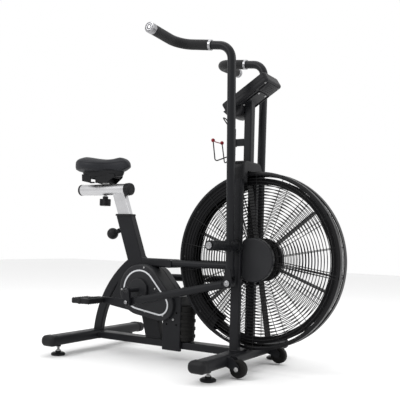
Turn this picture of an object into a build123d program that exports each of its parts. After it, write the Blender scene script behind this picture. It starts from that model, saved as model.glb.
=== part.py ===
import os
from math import atan2, cos, degrees, radians, sin, tan

from build123d import *

# Air bike. X is forward, Y is the rider's left, Z is up, and the feet stand on Z = 0.

# ---- driving dimensions, mm ----
# fan and cage
fan_x, fan_z = 302.5, 437.0
cage_r, cage_half = 350.0, 38.0
grille_t = 3.0
hub_r = 80.0
hoop_inner, hoop_outer = 302.0, 327.0
blade_w, blade_t, blade_angle = 46.0, 3.0, 39.0
axle_r = 10.0
# fork and console mast
leg_x, leg_y = 238.5, 65.0
leg_dx, leg_dy = 40.0, 25.0
leg_top = 790.0
mast_x, mast_dx, mast_dy = 247.0, 34.0, 36.0
console_c = (254.0, 0.0, 1105.0)
console_tilt = 32.0
console_l, console_w, console_t = 222.0, 140.0, 42.0
# base
beam_z, beam_w, beam_h = 65.0, 60.0, 30.0
front_x, front_z, front_half = 247.5, 61.0, 335.0
rear_x, rear_z, rear_half = -517.5, 66.0, 285.0
stab_w, stab_h, stab_round, cap_len = 70.0, 42.0, 18.0, 40.0
front_foot_y, rear_foot_y = 281.0, 251.0
foot_r, foot_h, stem_r = 30.0, 12.0, 5.0
wheel_x, wheel_y, wheel_z, wheel_r = 318.5, 181.0, 38.0, 33.0
# drive
bb_x, bb_z = -238.5, 287.0
jack_x, jack_z = -129.5, 229.0
core_half = 19.0
cover_out = 62.0
cover_big, cover_small = 110.0, 68.0
bb_axle_r = 9.0
disc_r = 48.0
crank_reach = 165.0
pin_dx, pin_dz = 5.8, -47.6
chain_y, chain2_y = -26.0, 48.0
chainwheel_r, jack_small_r, jack_big_r, fan_cog_r = 80.0, 22.0, 42.0, 22.0
# handle arms and link rods
arm_y, arm_r = 125.0, 17.0
pivot_x, pivot_z = 240.5, 490.0
lever_z = 345.0
pivot_axle_r = 12.0
link_r = 16.0
link_pin_r = 8.0
grip_r = 21.0
arm_top = (236.0, 148.0, 1276.0)
arm_elbow = (-5.5, 163.0, 1311.0)
arm_end = (-7.5, 361.0, 1320.0)
ferrule_at, ferrule_len, plug_ring = 89.0, 12.0, 18.0
peg_r, peg_end = 19.0, 285.0
# seat
seat_lean = 20.65
seat_foot = (-301.0, 412.0)
mast_len, mast_top, collar_lip = 222.0, 609.0, 9.0
pin_at, ball_at, ball_r = 160.0, 97.0, 26.0
mast_a, mast_b = 80.0, 40.0
post_a, post_b = 62.0, 30.0
slide_z, slide_r, slide_bore = 732.0, 26.0, 22.5
slide_x0, slide_x1 = -652.5, -347.5
neck_x = -500.5
gap = 0.05


def y_slab(y_high):
    """Sketch plane facing -Y at the given Y; extruding goes towards -Y."""
    return Plane.XZ.offset(-y_high)


def cylinder_y(x, z, radius, y_low, y_high, mode=Mode.ADD):
    """A round bar along Y between two Y values."""
    with Locations((x, (y_low + y_high) / 2, z)):
        Cylinder(radius, y_high - y_low, rotation=(90, 0, 0), mode=mode)


def span(side, a, b):
    """The Y interval between two distances from the mid plane on one side."""
    return (side * a, side * b) if side > 0 else (side * b, side * a)


# ---- base ----
with BuildPart() as stabilizer_blocks:
    for block_x, block_z in ((rear_x, rear_z), (front_x, front_z)):
        with BuildSketch(Plane.XZ):
            with Locations((block_x, block_z)):
                RectangleRounded(stab_w, stab_h, stab_round)
        extrude(amount=110, both=True)

with BuildPart() as base_beam:
    with BuildSketch(Plane.YZ.offset(rear_x + stab_w / 2 - 8)):
        with Locations((0, beam_z)):
            RectangleRounded(beam_w, beam_h, 5)
            RectangleRounded(beam_w - 4, beam_h - 4, 3, mode=Mode.SUBTRACT)
    extrude(amount=front_x - rear_x - stab_w + 16)
    add(stabilizer_blocks.part, mode=Mode.SUBTRACT)


def stabilizer(x, z, half, foot_y):
    """Cross tube with a welded nut for each levelling foot."""
    with BuildPart() as tube:
        with BuildSketch(Plane.XZ):
            with Locations((x, z)):
                RectangleRounded(stab_w, stab_h, stab_round)
        extrude(amount=half, both=True)
        with BuildSketch(Plane.XZ):
            with Locations((x, z)):
                RectangleRounded(stab_w - 5, stab_h - 5, stab_round - 2.5)
        extrude(amount=half, both=True, mode=Mode.SUBTRACT)
        with BuildSketch(Plane.XY.offset(z - stab_h / 2 - 8)):
            with Locations((x, foot_y), (x, -foot_y)):
                Circle(11)
        extrude(amount=9)
        with BuildSketch(Plane.XY.offset(z - stab_h / 2 - 8)):
            with Locations((x, foot_y), (x, -foot_y)):
                Circle(stem_r + gap)
        extrude(amount=20, mode=Mode.SUBTRACT)
    return tube


rear_stabilizer = stabilizer(rear_x, rear_z, rear_half, rear_foot_y)

with BuildPart() as front_stabilizer:
    add(stabilizer(front_x, front_z, front_half, front_foot_y).part)
    for ear_y in (wheel_y - 18, wheel_y + 14):
        with BuildSketch(y_slab(ear_y + 4)):
            with BuildLine():
                Polyline((262, 42), (262, 78), (300, 78), (328, 50), (328, 28), (309, 28), (278, 42), (262, 42))
            make_face()
        extrude(amount=4)
    cylinder_y(wheel_x, wheel_z, 5, wheel_y - 18, wheel_y + 21)
    mirror(about=Plane.XZ)
    with BuildSketch(Plane.XZ):
        with Locations((front_x, front_z)):
            RectangleRounded(stab_w - 5, stab_h - 5, stab_round - 2.5)
    extrude(amount=front_half, both=True, mode=Mode.SUBTRACT)

with BuildPart() as stabilizer_end_caps:
    for cap_x, cap_z, cap_y in ((rear_x, rear_z, rear_half), (front_x, front_z, front_half)):
        with BuildSketch(Plane.XZ.offset(cap_y)):
            with Locations((cap_x, cap_z)):
                RectangleRounded(stab_w + 4, stab_h + 4, stab_round + 2)
        extrude(amount=cap_len)
    fillet(stabilizer_end_caps.faces().filter_by(Axis.Y).group_by(Axis.Y)[0].edges(), 18)
    fillet(stabilizer_end_caps.faces().filter_by(Axis.Y).group_by(Axis.Y)[2].edges(), 18)
    mirror(about=Plane.XZ)


def levelling_foot(x, y, stem_top):
    """Round rubber pad on a threaded stem."""
    with BuildPart() as foot:
        with BuildSketch(Plane.XZ):
            with BuildLine():
                Polyline((0, 0), (foot_r - 2, 0), (foot_r, 3), (foot_r, 8), (foot_r - 6, foot_h))
                Polyline((foot_r - 6, foot_h), (12, foot_h), (12, foot_h + 7), (stem_r, foot_h + 7))
                Polyline((stem_r, foot_h + 7), (stem_r, stem_top), (0, stem_top), (0, 0))
            make_face()
        revolve(axis=Axis.Z)
    foot.part = foot.part.moved(Location((x, y, 0)))
    return foot


foot_front_right = levelling_foot(front_x, -front_foot_y, 46)
foot_front_left = levelling_foot(front_x, front_foot_y, 46)
foot_rear_right = levelling_foot(rear_x, -rear_foot_y, 50)
foot_rear_left = levelling_foot(rear_x, rear_foot_y, 50)


def transport_wheel(side):
    """Solid wheel with a grooved tread and recessed faces."""
    y_low, y_high = span(side, wheel_y - 12, wheel_y + 12)
    with BuildPart() as wheel:
        cylinder_y(wheel_x, wheel_z, wheel_r, y_low, y_high)
        fillet(wheel.edges().filter_by(GeomType.CIRCLE), 4)
        cylinder_y(wheel_x, wheel_z, 24, y_low, y_low + 3, Mode.SUBTRACT)
        cylinder_y(wheel_x, wheel_z, 24, y_high - 3, y_high, Mode.SUBTRACT)
        cylinder_y(wheel_x, wheel_z, 9, y_low - 1, y_high + 1)
        cylinder_y(wheel_x, wheel_z, 5 + gap, y_low - 2, y_high + 2, Mode.SUBTRACT)
    return wheel


wheel_right = transport_wheel(-1)
wheel_left = transport_wheel(1)

# ---- drive core, covers and seat frame ----
seat_dir = (-sin(radians(seat_lean)), 0, cos(radians(seat_lean)))


def seat_plane(distance):
    """Plane across the seat mast, at a distance up its axis from its foot."""
    origin = (seat_foot[0] + seat_dir[0] * distance, 0, seat_foot[1] + seat_dir[2] * distance)
    return Plane(origin=origin, x_dir=(cos(radians(seat_lean)), 0, sin(radians(seat_lean))), z_dir=seat_dir)


def teardrop(big, small):
    """Outline that wraps the crank centre and the jackshaft."""
    with BuildSketch(Plane.XZ) as outline:
        with Locations((bb_x, bb_z)):
            Circle(big)
        with Locations((jack_x, jack_z)):
            Circle(small)
        make_hull()
    return outline.sketch


def core_outline(grow):
    """Teardrop outline with the gusset that reaches the foot of the seat mast."""
    with BuildSketch(Plane.XZ) as outline:
        with Locations((bb_x, bb_z)):
            Circle(cover_big - 1 + grow)
        with Locations((jack_x, jack_z)):
            Circle(cover_small - 1 + grow)
        make_hull()
    with BuildSketch(Plane.XZ) as gusset:
        with Locations((bb_x - 10, bb_z - 10)):
            Circle(cover_big - 12 + grow)
        with Locations((seat_foot[0] + 4, seat_foot[1] - 8)):
            Circle(40 + grow)
        with Locations((-425, 214)):
            Circle(12 + grow)
        make_hull()
    return outline.sketch + gusset.sketch


with BuildPart() as core_block:
    with BuildSketch(Plane.XZ):
        add(core_outline(0))
    extrude(amount=core_half, both=True)

with BuildPart() as drive_core:
    add(core_block.part)
    with BuildSketch(Plane.XZ):
        add(core_outline(-3))
    extrude(amount=core_half - 3, both=True, mode=Mode.SUBTRACT)
    cylinder_y(bb_x, bb_z, 20, -core_half - 2, core_half + 2)
    cylinder_y(jack_x, jack_z, 15, -core_half, core_half)
    cylinder_y(bb_x, bb_z, bb_axle_r + gap, -60, 60, Mode.SUBTRACT)
    cylinder_y(jack_x, jack_z, 7 + gap, -60, 60, Mode.SUBTRACT)

with BuildPart() as seat_block:
    with BuildSketch(seat_plane(-20)):
        RectangleRounded(mast_a, mast_b, 7)
    extrude(amount=mast_len + 20)

with BuildPart() as seat_mast:
    with BuildSketch(seat_plane(-20)):
        RectangleRounded(mast_a, mast_b, 7)
        RectangleRounded(mast_a - 4, mast_b - 4, 5, mode=Mode.SUBTRACT)
    extrude(amount=mast_len + 20)
    split(bisect_by=Plane.XY.offset(mast_top), keep=Keep.BOTTOM)
    add(core_block.part, mode=Mode.SUBTRACT)
    with BuildSketch(Plane(origin=seat_plane(pin_at).origin, x_dir=(0, 1, 0), z_dir=-seat_plane(0).x_dir)):
        Circle(6 + gap)
    extrude(amount=60, mode=Mode.SUBTRACT)

lip_centre = seat_foot[0] - (mast_top + collar_lip / 2 - seat_foot[1]) * tan(radians(seat_lean))

with BuildPart() as mast_collar:
    with BuildSketch(seat_plane(mast_len - 44)):
        RectangleRounded(mast_a - 4.2, mast_b - 4.2, 5)
    extrude(amount=80)
    split(bisect_by=Plane.XY.offset(mast_top), keep=Keep.BOTTOM)
    with BuildSketch(Plane.XY.offset(mast_top)):
        with Locations((lip_centre, 0)):
            RectangleRounded(mast_a / cos(radians(seat_lean)) + 5, mast_b + 5, 9)
    extrude(amount=collar_lip)
    fillet(mast_collar.faces().sort_by(Axis.Z)[-1].edges(), 2)
    with BuildSketch(seat_plane(mast_len - 60)):
        RectangleRounded(post_a + 0.2, post_b + 0.2, 4)
    extrude(amount=110, mode=Mode.SUBTRACT)

with BuildPart() as arch_tube:
    with BuildLine(Plane.XZ) as arch_path:
        ThreePointArc((-509.2, 66), (-455, 255), (-330, 398))
    with BuildSketch(Plane(origin=arch_path.wire() @ 0, x_dir=(0, 1, 0), z_dir=arch_path.wire() % 0)):
        RectangleRounded(30, 44, 6)
        RectangleRounded(26, 40, 4, mode=Mode.SUBTRACT)
    sweep()
    add(stabilizer_blocks.part, mode=Mode.SUBTRACT)
    add(core_block.part, mode=Mode.SUBTRACT)
    add(seat_block.part, mode=Mode.SUBTRACT)

with BuildPart() as pedestal_tube:
    with BuildSketch(Plane.XZ):
        with BuildLine():
            Polyline((-147, 80), (-227, 80), (-262, 205), (-182, 205), (-147, 80))
        make_face()
    extrude(amount=18, both=True)
    with BuildSketch(Plane.XZ):
        with BuildLine():
            Polyline((-149.5, 80), (-224.5, 80), (-259.5, 205), (-184.5, 205), (-149.5, 80))
        make_face()
    extrude(amount=15.5, both=True, mode=Mode.SUBTRACT)
    add(core_block.part, mode=Mode.SUBTRACT)

with BuildPart() as cover_block:
    with BuildSketch(Plane.XZ):
        add(teardrop(cover_big, cover_small))
    extrude(amount=cover_out, both=True)

with BuildPart() as drive_column:
    with BuildSketch(Plane.XY.offset(42)):
        with Locations((-77.5, 0)):
            RectangleRounded(90, 90, 4)
            RectangleRounded(84, 84, 2, mode=Mode.SUBTRACT)
    extrude(amount=226)
    with BuildSketch(Plane.XY.offset(265)):
        with Locations((-77.5, 0)):
            RectangleRounded(90, 90, 4)
    extrude(amount=3)
    with BuildSketch(Plane.XY.offset(30)):
        with Locations((-77.5, 0)):
            Rectangle(120, beam_w)
    extrude(amount=beam_z + beam_h / 2 - 30, mode=Mode.SUBTRACT)
    add(cover_block.part, mode=Mode.SUBTRACT)
    with BuildSketch(Plane.XZ.offset(60)):
        with Locations((-100, 150), (-52, 200), (-52, 150)):
            Circle(4)
    extrude(amount=-20, mode=Mode.SUBTRACT)

with BuildPart() as column_front_cover:
    with BuildSketch(Plane.XY.offset(84)):
        with Locations((-32.5, 0)):
            Circle(38)
            Circle(35.5, mode=Mode.SUBTRACT)
    extrude(amount=144)
    for rib_z in (96, 128, 160, 192):
        with BuildSketch(Plane.XY.offset(rib_z)):
            with Locations((-32.5, 0)):
                Circle(42)
                Circle(36, mode=Mode.SUBTRACT)
        extrude(amount=14)
    fillet(column_front_cover.edges().filter_by(GeomType.CIRCLE).filter_by(lambda e: e.radius > 41), 2.5)
    with BuildSketch(Plane.XY.offset(225)):
        with Locations((-32.5, 0)):
            Circle(38)
    extrude(amount=3)
    split(bisect_by=Plane.YZ.offset(-32.5), keep=Keep.TOP)

with BuildPart() as top_tube:
    with BuildSketch(Plane.YZ.offset(-300)):
        with Locations((0, 405)):
            RectangleRounded(50, 36, 8)
            RectangleRounded(46, 32, 6, mode=Mode.SUBTRACT)
    extrude(amount=212)
    with BuildSketch(Plane.XZ):
        with Locations((-74, 405)):
            RectangleRounded(28, 32, 7)
    extrude(amount=88, both=True)
    with BuildSketch(Plane.XZ):
        with Locations((-74, 405)):
            RectangleRounded(24, 28, 5)
    extrude(amount=85, both=True, mode=Mode.SUBTRACT)
    add(core_block.part, mode=Mode.SUBTRACT)
    add(seat_block.part, mode=Mode.SUBTRACT)
    with BuildSketch(Plane.XZ):
        with BuildLine():
            Polyline((-320, 380), (-320, 430), (-262, 430), (-243, 380), (-320, 380))
        make_face()
    extrude(amount=40, both=True, mode=Mode.SUBTRACT)

with BuildPart() as side_tubes:
    with BuildSketch(Plane.YZ.offset(-60)):
        with Locations((-70, 409), (70, 409)):
            Circle(14)
            Circle(12, mode=Mode.SUBTRACT)
    extrude(amount=leg_x - leg_dx / 2 + 60)


def drive_cover(side):
    """Half cover over the chainwheel, with a domed edge and a hole for the crank axle."""
    low, high = span(side, core_half, cover_out)
    with BuildPart() as cover:
        with BuildSketch(y_slab(high)):
            add(teardrop(cover_big, cover_small))
        extrude(amount=high - low)
        outer_face = cover.faces().filter_by(Axis.Y).sort_by(Axis.Y)[-1 if side > 0 else 0]
        fillet(outer_face.edges(), 8)
        inner_low, inner_high = span(side, core_half, cover_out - 3)
        with BuildSketch(y_slab(inner_high)):
            add(teardrop(cover_big - 8, cover_small - 8))
        extrude(amount=inner_high - inner_low, mode=Mode.SUBTRACT)
        cylinder_y(bb_x, bb_z, bb_axle_r + 3, -80, 80, Mode.SUBTRACT)
        with Locations((seat_foot[0] + 12, 0, 425)):
            Box(150, 2 * (mast_b / 2 + 1), 110, mode=Mode.SUBTRACT)
        with Locations((-200, 0, 405)):
            Box(120, 52, 40, mode=Mode.SUBTRACT)
        if side > 0:
            slot_angle = degrees(atan2(fan_z - jack_z, fan_x - jack_x))
            slot_pl = Plane(Location((jack_x, chain2_y, jack_z), (0, -slot_angle, 0)))
            with BuildSketch(slot_pl):
                with Locations((80, 0)):
                    Rectangle(160, 9)
            extrude(amount=52, both=True, mode=Mode.SUBTRACT)
    return cover


drive_cover_right = drive_cover(-1)
drive_cover_left = drive_cover(1)

with BuildPart() as cover_trim:
    with BuildSketch(Plane.XZ.offset(cover_out)):
        add(teardrop(86, 45))
        add(teardrop(79.5, 38.5), mode=Mode.SUBTRACT)
    extrude(amount=1.2)
    mirror(about=Plane.XZ)


def chain_loop(y, xa, za, ra, xb, zb, rb):
    """Closed chain of constant section around two cogs, as a flat band."""
    with BuildPart() as chain:
        with BuildSketch(y_slab(y + 2.5)):
            with Locations((xa, za)):
                Circle(ra + 6)
            with Locations((xb, zb)):
                Circle(rb + 6)
            make_hull()
        extrude(amount=5)
        with BuildSketch(y_slab(y + 3)):
            with Locations((xa, za)):
                Circle(ra + 0.5)
            with Locations((xb, zb)):
                Circle(rb + 0.5)
            make_hull()
        extrude(amount=6, mode=Mode.SUBTRACT)
    return chain


with BuildPart() as chains:
    add(chain_loop(chain_y, bb_x, bb_z, chainwheel_r, jack_x, jack_z, jack_small_r).part)
    add(chain_loop(chain2_y, jack_x, jack_z, jack_big_r, fan_x, fan_z, fan_cog_r).part)

# ---- crankset, pedals and jackshaft ----
with BuildPart() as chainwheel:
    cylinder_y(bb_x, bb_z, chainwheel_r, chain_y - 2, chain_y + 2)
    cylinder_y(bb_x, bb_z, 26, chain_y - 8, chain_y + 4)
    with BuildSketch(y_slab(chain_y + 3)):
        with Locations((bb_x, bb_z)):
            with PolarLocations(54, 5):
                Circle(15)
            with PolarLocations(chainwheel_r + 1, 36):
                Circle(3.2)
    extrude(amount=6, mode=Mode.SUBTRACT)

with BuildPart() as crank_axle:
    for side in (-1, 1):
        cylinder_y(bb_x, bb_z, disc_r, *span(side, 64, 76))
    fillet(crank_axle.edges().filter_by(GeomType.CIRCLE), 2.5)
    cylinder_y(bb_x, bb_z, bb_axle_r, -143, 143)
    add(chainwheel.part)


def crank_arm(side):
    """Return crank: axle boss, link pin boss and pedal boss, with the pedal spindle."""
    sx = -side
    pin = (bb_x + sx * pin_dx, bb_z + sx * pin_dz)
    tip = (bb_x - sx * (crank_reach ** 2 - pin_dz ** 2) ** 0.5, bb_z + sx * pin_dz)
    low, high = span(side, 143, 157)
    with BuildPart() as arm:
        with BuildSketch(y_slab(high)):
            with Locations((bb_x, bb_z)):
                Circle(16)
            with Locations(pin):
                Circle(15)
            make_hull()
        extrude(amount=high - low)
        with BuildSketch(y_slab(high)):
            with Locations(pin):
                Circle(13)
            with Locations(tip):
                Circle(13)
            make_hull()
        extrude(amount=high - low)
        low, high = span(side, 157, 163)
        with BuildSketch(y_slab(high)):
            with Locations(pin):
                RegularPolygon(9, 6)
        extrude(amount=high - low)
        low, high = span(side, 150, 262)
        cylinder_y(tip[0], tip[1], 7, low, high)
    return arm


with BuildPart() as crank_arms:
    add(crank_arm(-1).part)
    add(crank_arm(1).part)


def pedal(side):
    """Platform pedal: cage plates on a bearing tube around the spindle."""
    sx = -side
    x = bb_x - sx * (crank_reach ** 2 - pin_dz ** 2) ** 0.5
    z = bb_z + sx * pin_dz
    low, high = span(side, 160, 266)
    with BuildPart() as body:
        with BuildSketch(Plane.XY.offset(z)):
            with Locations((x, (low + high) / 2)):
                RectangleRounded(98, high - low, 12)
                with Locations((-27, 0), (27, 0)):
                    RectangleRounded(24, 74, 5, mode=Mode.SUBTRACT)
        extrude(amount=11, both=True)
        chamfer(body.faces().sort_by(Axis.Z)[-1].outer_wire().edges(), 3)
        chamfer(body.faces().sort_by(Axis.Z)[0].outer_wire().edges(), 3)
        cylinder_y(x, z, 13, low, high)
        cylinder_y(x, z, 7 + gap, *span(side, 155, 263), Mode.SUBTRACT)
    return body


pedal_right = pedal(-1)
pedal_left = pedal(1)

with BuildPart() as jackshaft:
    cylinder_y(jack_x, jack_z, 7, chain_y - 8, chain2_y + 4)
    cylinder_y(jack_x, jack_z, jack_small_r, chain_y - 2, chain_y + 2)
    cylinder_y(jack_x, jack_z, 12, chain_y - 8, -core_half - 1)
    cylinder_y(jack_x, jack_z, 12, core_half + 1, chain2_y + 4)
    cylinder_y(jack_x, jack_z, jack_big_r, chain2_y - 1.5, chain2_y + 1.5)
    with BuildSketch(y_slab(chain2_y + 3)):
        with Locations((jack_x, jack_z)):
            with PolarLocations(27, 5):
                Circle(8)
    extrude(amount=6, mode=Mode.SUBTRACT)

# ---- fork, crown, console mast ----
with BuildPart() as fork_legs:
    leg_centres = ((leg_x, -leg_y), (leg_x, leg_y))
    with BuildSketch(Plane.XY.offset(front_z + 9)):
        with Locations(*leg_centres):
            RectangleRounded(leg_dx, leg_dy, 6)
            RectangleRounded(leg_dx - 4, leg_dy - 4, 4, mode=Mode.SUBTRACT)
    extrude(amount=leg_top - front_z - 9)
    add(stabilizer_blocks.part, mode=Mode.SUBTRACT)
    for side in (-1, 1):
        low, high = span(side, leg_y - leg_dy / 2, leg_y - leg_dy / 2 + 5)
        with BuildSketch(y_slab(high)):
            with BuildLine():
                Polyline((leg_x + 16, fan_z - 34), (leg_x + 16, fan_z + 34), (fan_x, fan_z + 20))
                RadiusArc((fan_x, fan_z + 20), (fan_x, fan_z - 20), 20)
                Line((fan_x, fan_z - 20), (leg_x + 16, fan_z - 34))
            make_face()
        extrude(amount=high - low)
    cylinder_y(fan_x, fan_z, axle_r + gap, -100, 100, Mode.SUBTRACT)
    for side in (-1, 1):
        low, high = span(side, leg_y + leg_dy / 2 - 2, leg_y + leg_dy / 2 + 6)
        cylinder_y(pivot_x, pivot_z, 30, low, high)

with BuildPart() as crown_cap:
    with BuildSketch(Plane.YZ.offset(leg_x - 27)):
        with Locations((0, 787)):
            RectangleRounded(166, 90, 34)
    extrude(amount=58)
    fillet(crown_cap.faces().filter_by(Axis.X).edges(), 9)
    with Locations((leg_x, 0, 760)):
        Box(leg_dx + 0.6, 2 * leg_y + leg_dy + 0.6, 124.6, mode=Mode.SUBTRACT)
    with Locations((leg_x, 0, 735)):
        Box(100, 2 * leg_y - leg_dy - 2, 110, mode=Mode.SUBTRACT)
    with Locations((mast_x, 0, 830)):
        Box(mast_dx + 0.6, mast_dy + 0.6, 40, mode=Mode.SUBTRACT)

tilt = radians(console_tilt)
console_pl = Plane(origin=console_c, x_dir=(cos(tilt), 0, sin(tilt)), z_dir=(-sin(tilt), 0, cos(tilt)))
console_axis = Axis(console_c, (-sin(tilt), 0, cos(tilt)))

with BuildPart() as console_mast:
    with BuildSketch(Plane.XY.offset(leg_top + 32)):
        with Locations((mast_x, 0)):
            RectangleRounded(mast_dx, mast_dy, 6)
            RectangleRounded(mast_dx - 4, mast_dy - 4, 4, mode=Mode.SUBTRACT)
    extrude(amount=310)
    split(bisect_by=console_pl.offset(-console_t / 2 - 4), keep=Keep.BOTTOM)
    with BuildSketch(console_pl.offset(-console_t / 2 - 4)):
        RectangleRounded(96, 76, 6)
        with GridLocations(78, 58, 2, 2):
            Circle(3, mode=Mode.SUBTRACT)
    extrude(amount=4)
    with Locations(((180 + mast_x - mast_dx / 2) / 2, 0, 915)):
        Box(mast_x - mast_dx / 2 - 180 + 0.5, 5, 30)
    with Locations((179, 0, 915)):
        Box(4, 36, 30)
    with BuildSketch(Plane.YZ.offset(leg_x - leg_dx / 2)):
        with Locations((0, leg_top + 16)):
            RectangleRounded(2 * leg_y + leg_dy, 32, 15.5)
    extrude(amount=leg_dx)
    with BuildSketch(Plane.YZ.offset(leg_x - leg_dx / 2)):
        with Locations((0, leg_top + 16)):
            RectangleRounded(2 * leg_y + leg_dy - 5, 27, 13)
    extrude(amount=leg_dx, mode=Mode.SUBTRACT)

with BuildPart() as console_housing:
    with BuildSketch(console_pl.offset(-console_t / 2)):
        RectangleRounded(console_l, console_w, 14)
    extrude(amount=console_t)
    fillet(console_housing.faces().sort_by(console_axis)[0].edges(), 8)
    fillet(console_housing.faces().sort_by(console_axis)[-1].edges(), 4)
    with BuildSketch(console_pl.offset(console_t / 2 - 3)):
        with Locations((24, 0)):
            RectangleRounded(160, 116, 6)
    extrude(amount=10, mode=Mode.SUBTRACT)
    with BuildSketch(console_pl.offset(console_t / 2 - 12)):
        with Locations((-86, 0)):
            RectangleRounded(16.8, 30.8, 5)
    extrude(amount=20, mode=Mode.SUBTRACT)
    with BuildSketch(console_pl.offset(-console_t / 2 + 3)):
        RectangleRounded(console_l - 8, console_w - 8, 10)
    extrude(amount=console_t - 18, mode=Mode.SUBTRACT)

with BuildPart() as console_screen:
    with BuildSketch(console_pl.offset(console_t / 2 - 3)):
        with Locations((24, 0)):
            RectangleRounded(159.4, 115.4, 6)
    extrude(amount=2)

with BuildPart() as console_key:
    with BuildSketch(console_pl.offset(console_t / 2 - 8)):
        with Locations((-86, 0)):
            RectangleRounded(16, 30, 4.6)
    extrude(amount=10)
    fillet(console_key.faces().sort_by(Axis.Z)[-1].edges(), 1)

with BuildPart() as bottle_cage:
    with Locations((175.5, 0, 915)):
        Box(3, 30, 120)
    for side in (-1, 1):
        with BuildLine() as wire_path:
            FilletPolyline((172, side * 11, 962), (172, side * 11, 862), (112, side * 40, 836),
                           (98, side * 38, 925), radius=9)
        with BuildSketch(Plane(origin=wire_path.wire() @ 0, z_dir=wire_path.wire() % 0)):
            Circle(2.5)
        sweep(path=wire_path.wire())
    with BuildLine() as loop_path:
        FilletPolyline((172, -11, 962), (128, -13, 1023), (128, 13, 1023), (172, 11, 962), radius=8)
    with BuildSketch(Plane(origin=loop_path.wire() @ 0, z_dir=loop_path.wire() % 0)):
        Circle(2.5)
    sweep(path=loop_path.wire())

with BuildPart() as bottle_cage_tips:
    with Locations((98, -38, 925), (98, 38, 925)):
        Sphere(8)
    add(bottle_cage.part, mode=Mode.SUBTRACT)

# ---- foot pegs with the arm pivots, handle arms and link rods ----
with BuildPart() as foot_pegs:
    cylinder_y(pivot_x, pivot_z, pivot_axle_r, -160, -83.5)
    cylinder_y(pivot_x, pivot_z, 20, -101, -83.5)
    cylinder_y(pivot_x, pivot_z, peg_r, -peg_end, -149)
    with BuildSketch(y_slab(-149)):
        with Locations((pivot_x, pivot_z)):
            Circle(23)
    extrude(amount=5)
    for groove in range(9):
        with BuildSketch(y_slab(-164 - 12 * groove)):
            with Locations((pivot_x, pivot_z)):
                Circle(30)
                Circle(peg_r - 1.2, mode=Mode.SUBTRACT)
        extrude(amount=4, mode=Mode.SUBTRACT)
    cylinder_y(pivot_x, pivot_z, 7, -peg_end - 5, -peg_end)
    mirror(about=Plane.XZ)


def arm_points(side):
    """Corners of the handle arm's centre line, from the pivot up and out to the hand end."""
    corners = [(pivot_x, arm_y, pivot_z + 10), arm_top, arm_elbow, arm_end]
    return [(x, side * y, z) for x, y, z in corners]


def sleeve_plane(start, towards, distance):
    """Plane across the line between two points, at a distance from the first."""
    a, b = Vector(*start), Vector(*towards)
    direction = (b - a).normalized()
    return Plane(origin=a + direction * distance, z_dir=direction)


def handle_arm(side):
    """Bent tube with the pivot bush, the lower lever and the two lugs of the link pin."""
    points = arm_points(side)
    y = side * arm_y
    with BuildPart() as arm:
        with BuildLine() as path:
            FilletPolyline(*points, radius=(62, 70))
        with BuildSketch(Plane(origin=path.wire() @ 0, z_dir=path.wire() % 0)):
            Circle(arm_r)
            Circle(arm_r - 2, mode=Mode.SUBTRACT)
        sweep(path=path.wire())
        with BuildSketch(Plane.XY.offset(372)):
            with Locations((pivot_x, y)):
                Circle(arm_r)
                Circle(arm_r - 2.5, mode=Mode.SUBTRACT)
        extrude(amount=pivot_z - 372)
        with BuildSketch(Plane.XY.offset(372)):
            with Locations((pivot_x, y)):
                Circle(arm_r)
        extrude(amount=4)
        cylinder_y(pivot_x, pivot_z, 24, y - 22, y + 22)
        cylinder_y(pivot_x, pivot_z, pivot_axle_r + gap, y - 30, y + 30, Mode.SUBTRACT)
        for lug in (y - 18.5, y + 12.5):
            with BuildSketch(y_slab(lug + 6)):
                with Locations((pivot_x, lever_z)):
                    Circle(18)
                with Locations((pivot_x, 392)):
                    Circle(13)
                make_hull()
            extrude(amount=6)
        cylinder_y(pivot_x, lever_z, link_pin_r, y - 21, y + 21)
        cylinder_y(pivot_x, lever_z, 12, *span(side, arm_y + 18.5, arm_y + 24))
    return arm


def grip_sleeve(side):
    """Foam sleeve over the hand end of the arm."""
    points = arm_points(side)
    length = (Vector(*points[3]) - Vector(*points[2])).length
    start = sleeve_plane(points[1], points[2], ferrule_at + ferrule_len).origin
    end = sleeve_plane(points[2], points[3], length - plug_ring).origin
    with BuildPart() as grip:
        with BuildLine() as path:
            FilletPolyline(start, points[2], end, radius=70)
        with BuildSketch(Plane(origin=path.wire() @ 0, z_dir=path.wire() % 0)):
            Circle(grip_r)
            Circle(arm_r + 0.15, mode=Mode.SUBTRACT)
        sweep(path=path.wire())
    return grip


def handle_trim(side):
    """Ferrule at the inner end of the grip and the ringed plug at the outer end."""
    points = arm_points(side)
    length = (Vector(*points[3]) - Vector(*points[2])).length
    with BuildPart() as trim:
        with BuildSketch(sleeve_plane(points[1], points[2], ferrule_at)):
            Circle(grip_r + 0.5)
            Circle(arm_r + 0.15, mode=Mode.SUBTRACT)
        extrude(amount=ferrule_len)
        with BuildSketch(sleeve_plane(points[2], points[3], length - plug_ring)):
            Circle(grip_r + 0.5)
            Circle(arm_r + 0.15, mode=Mode.SUBTRACT)
        extrude(amount=plug_ring)
        with BuildSketch(sleeve_plane(points[2], points[3], length)):
            Circle(grip_r + 0.5)
        extrude(amount=8)
    return trim


arm_right, arm_left = handle_arm(-1), handle_arm(1)
grip_right, grip_left = grip_sleeve(-1), grip_sleeve(1)
handle_trim_right, handle_trim_left = handle_trim(-1), handle_trim(1)


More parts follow.
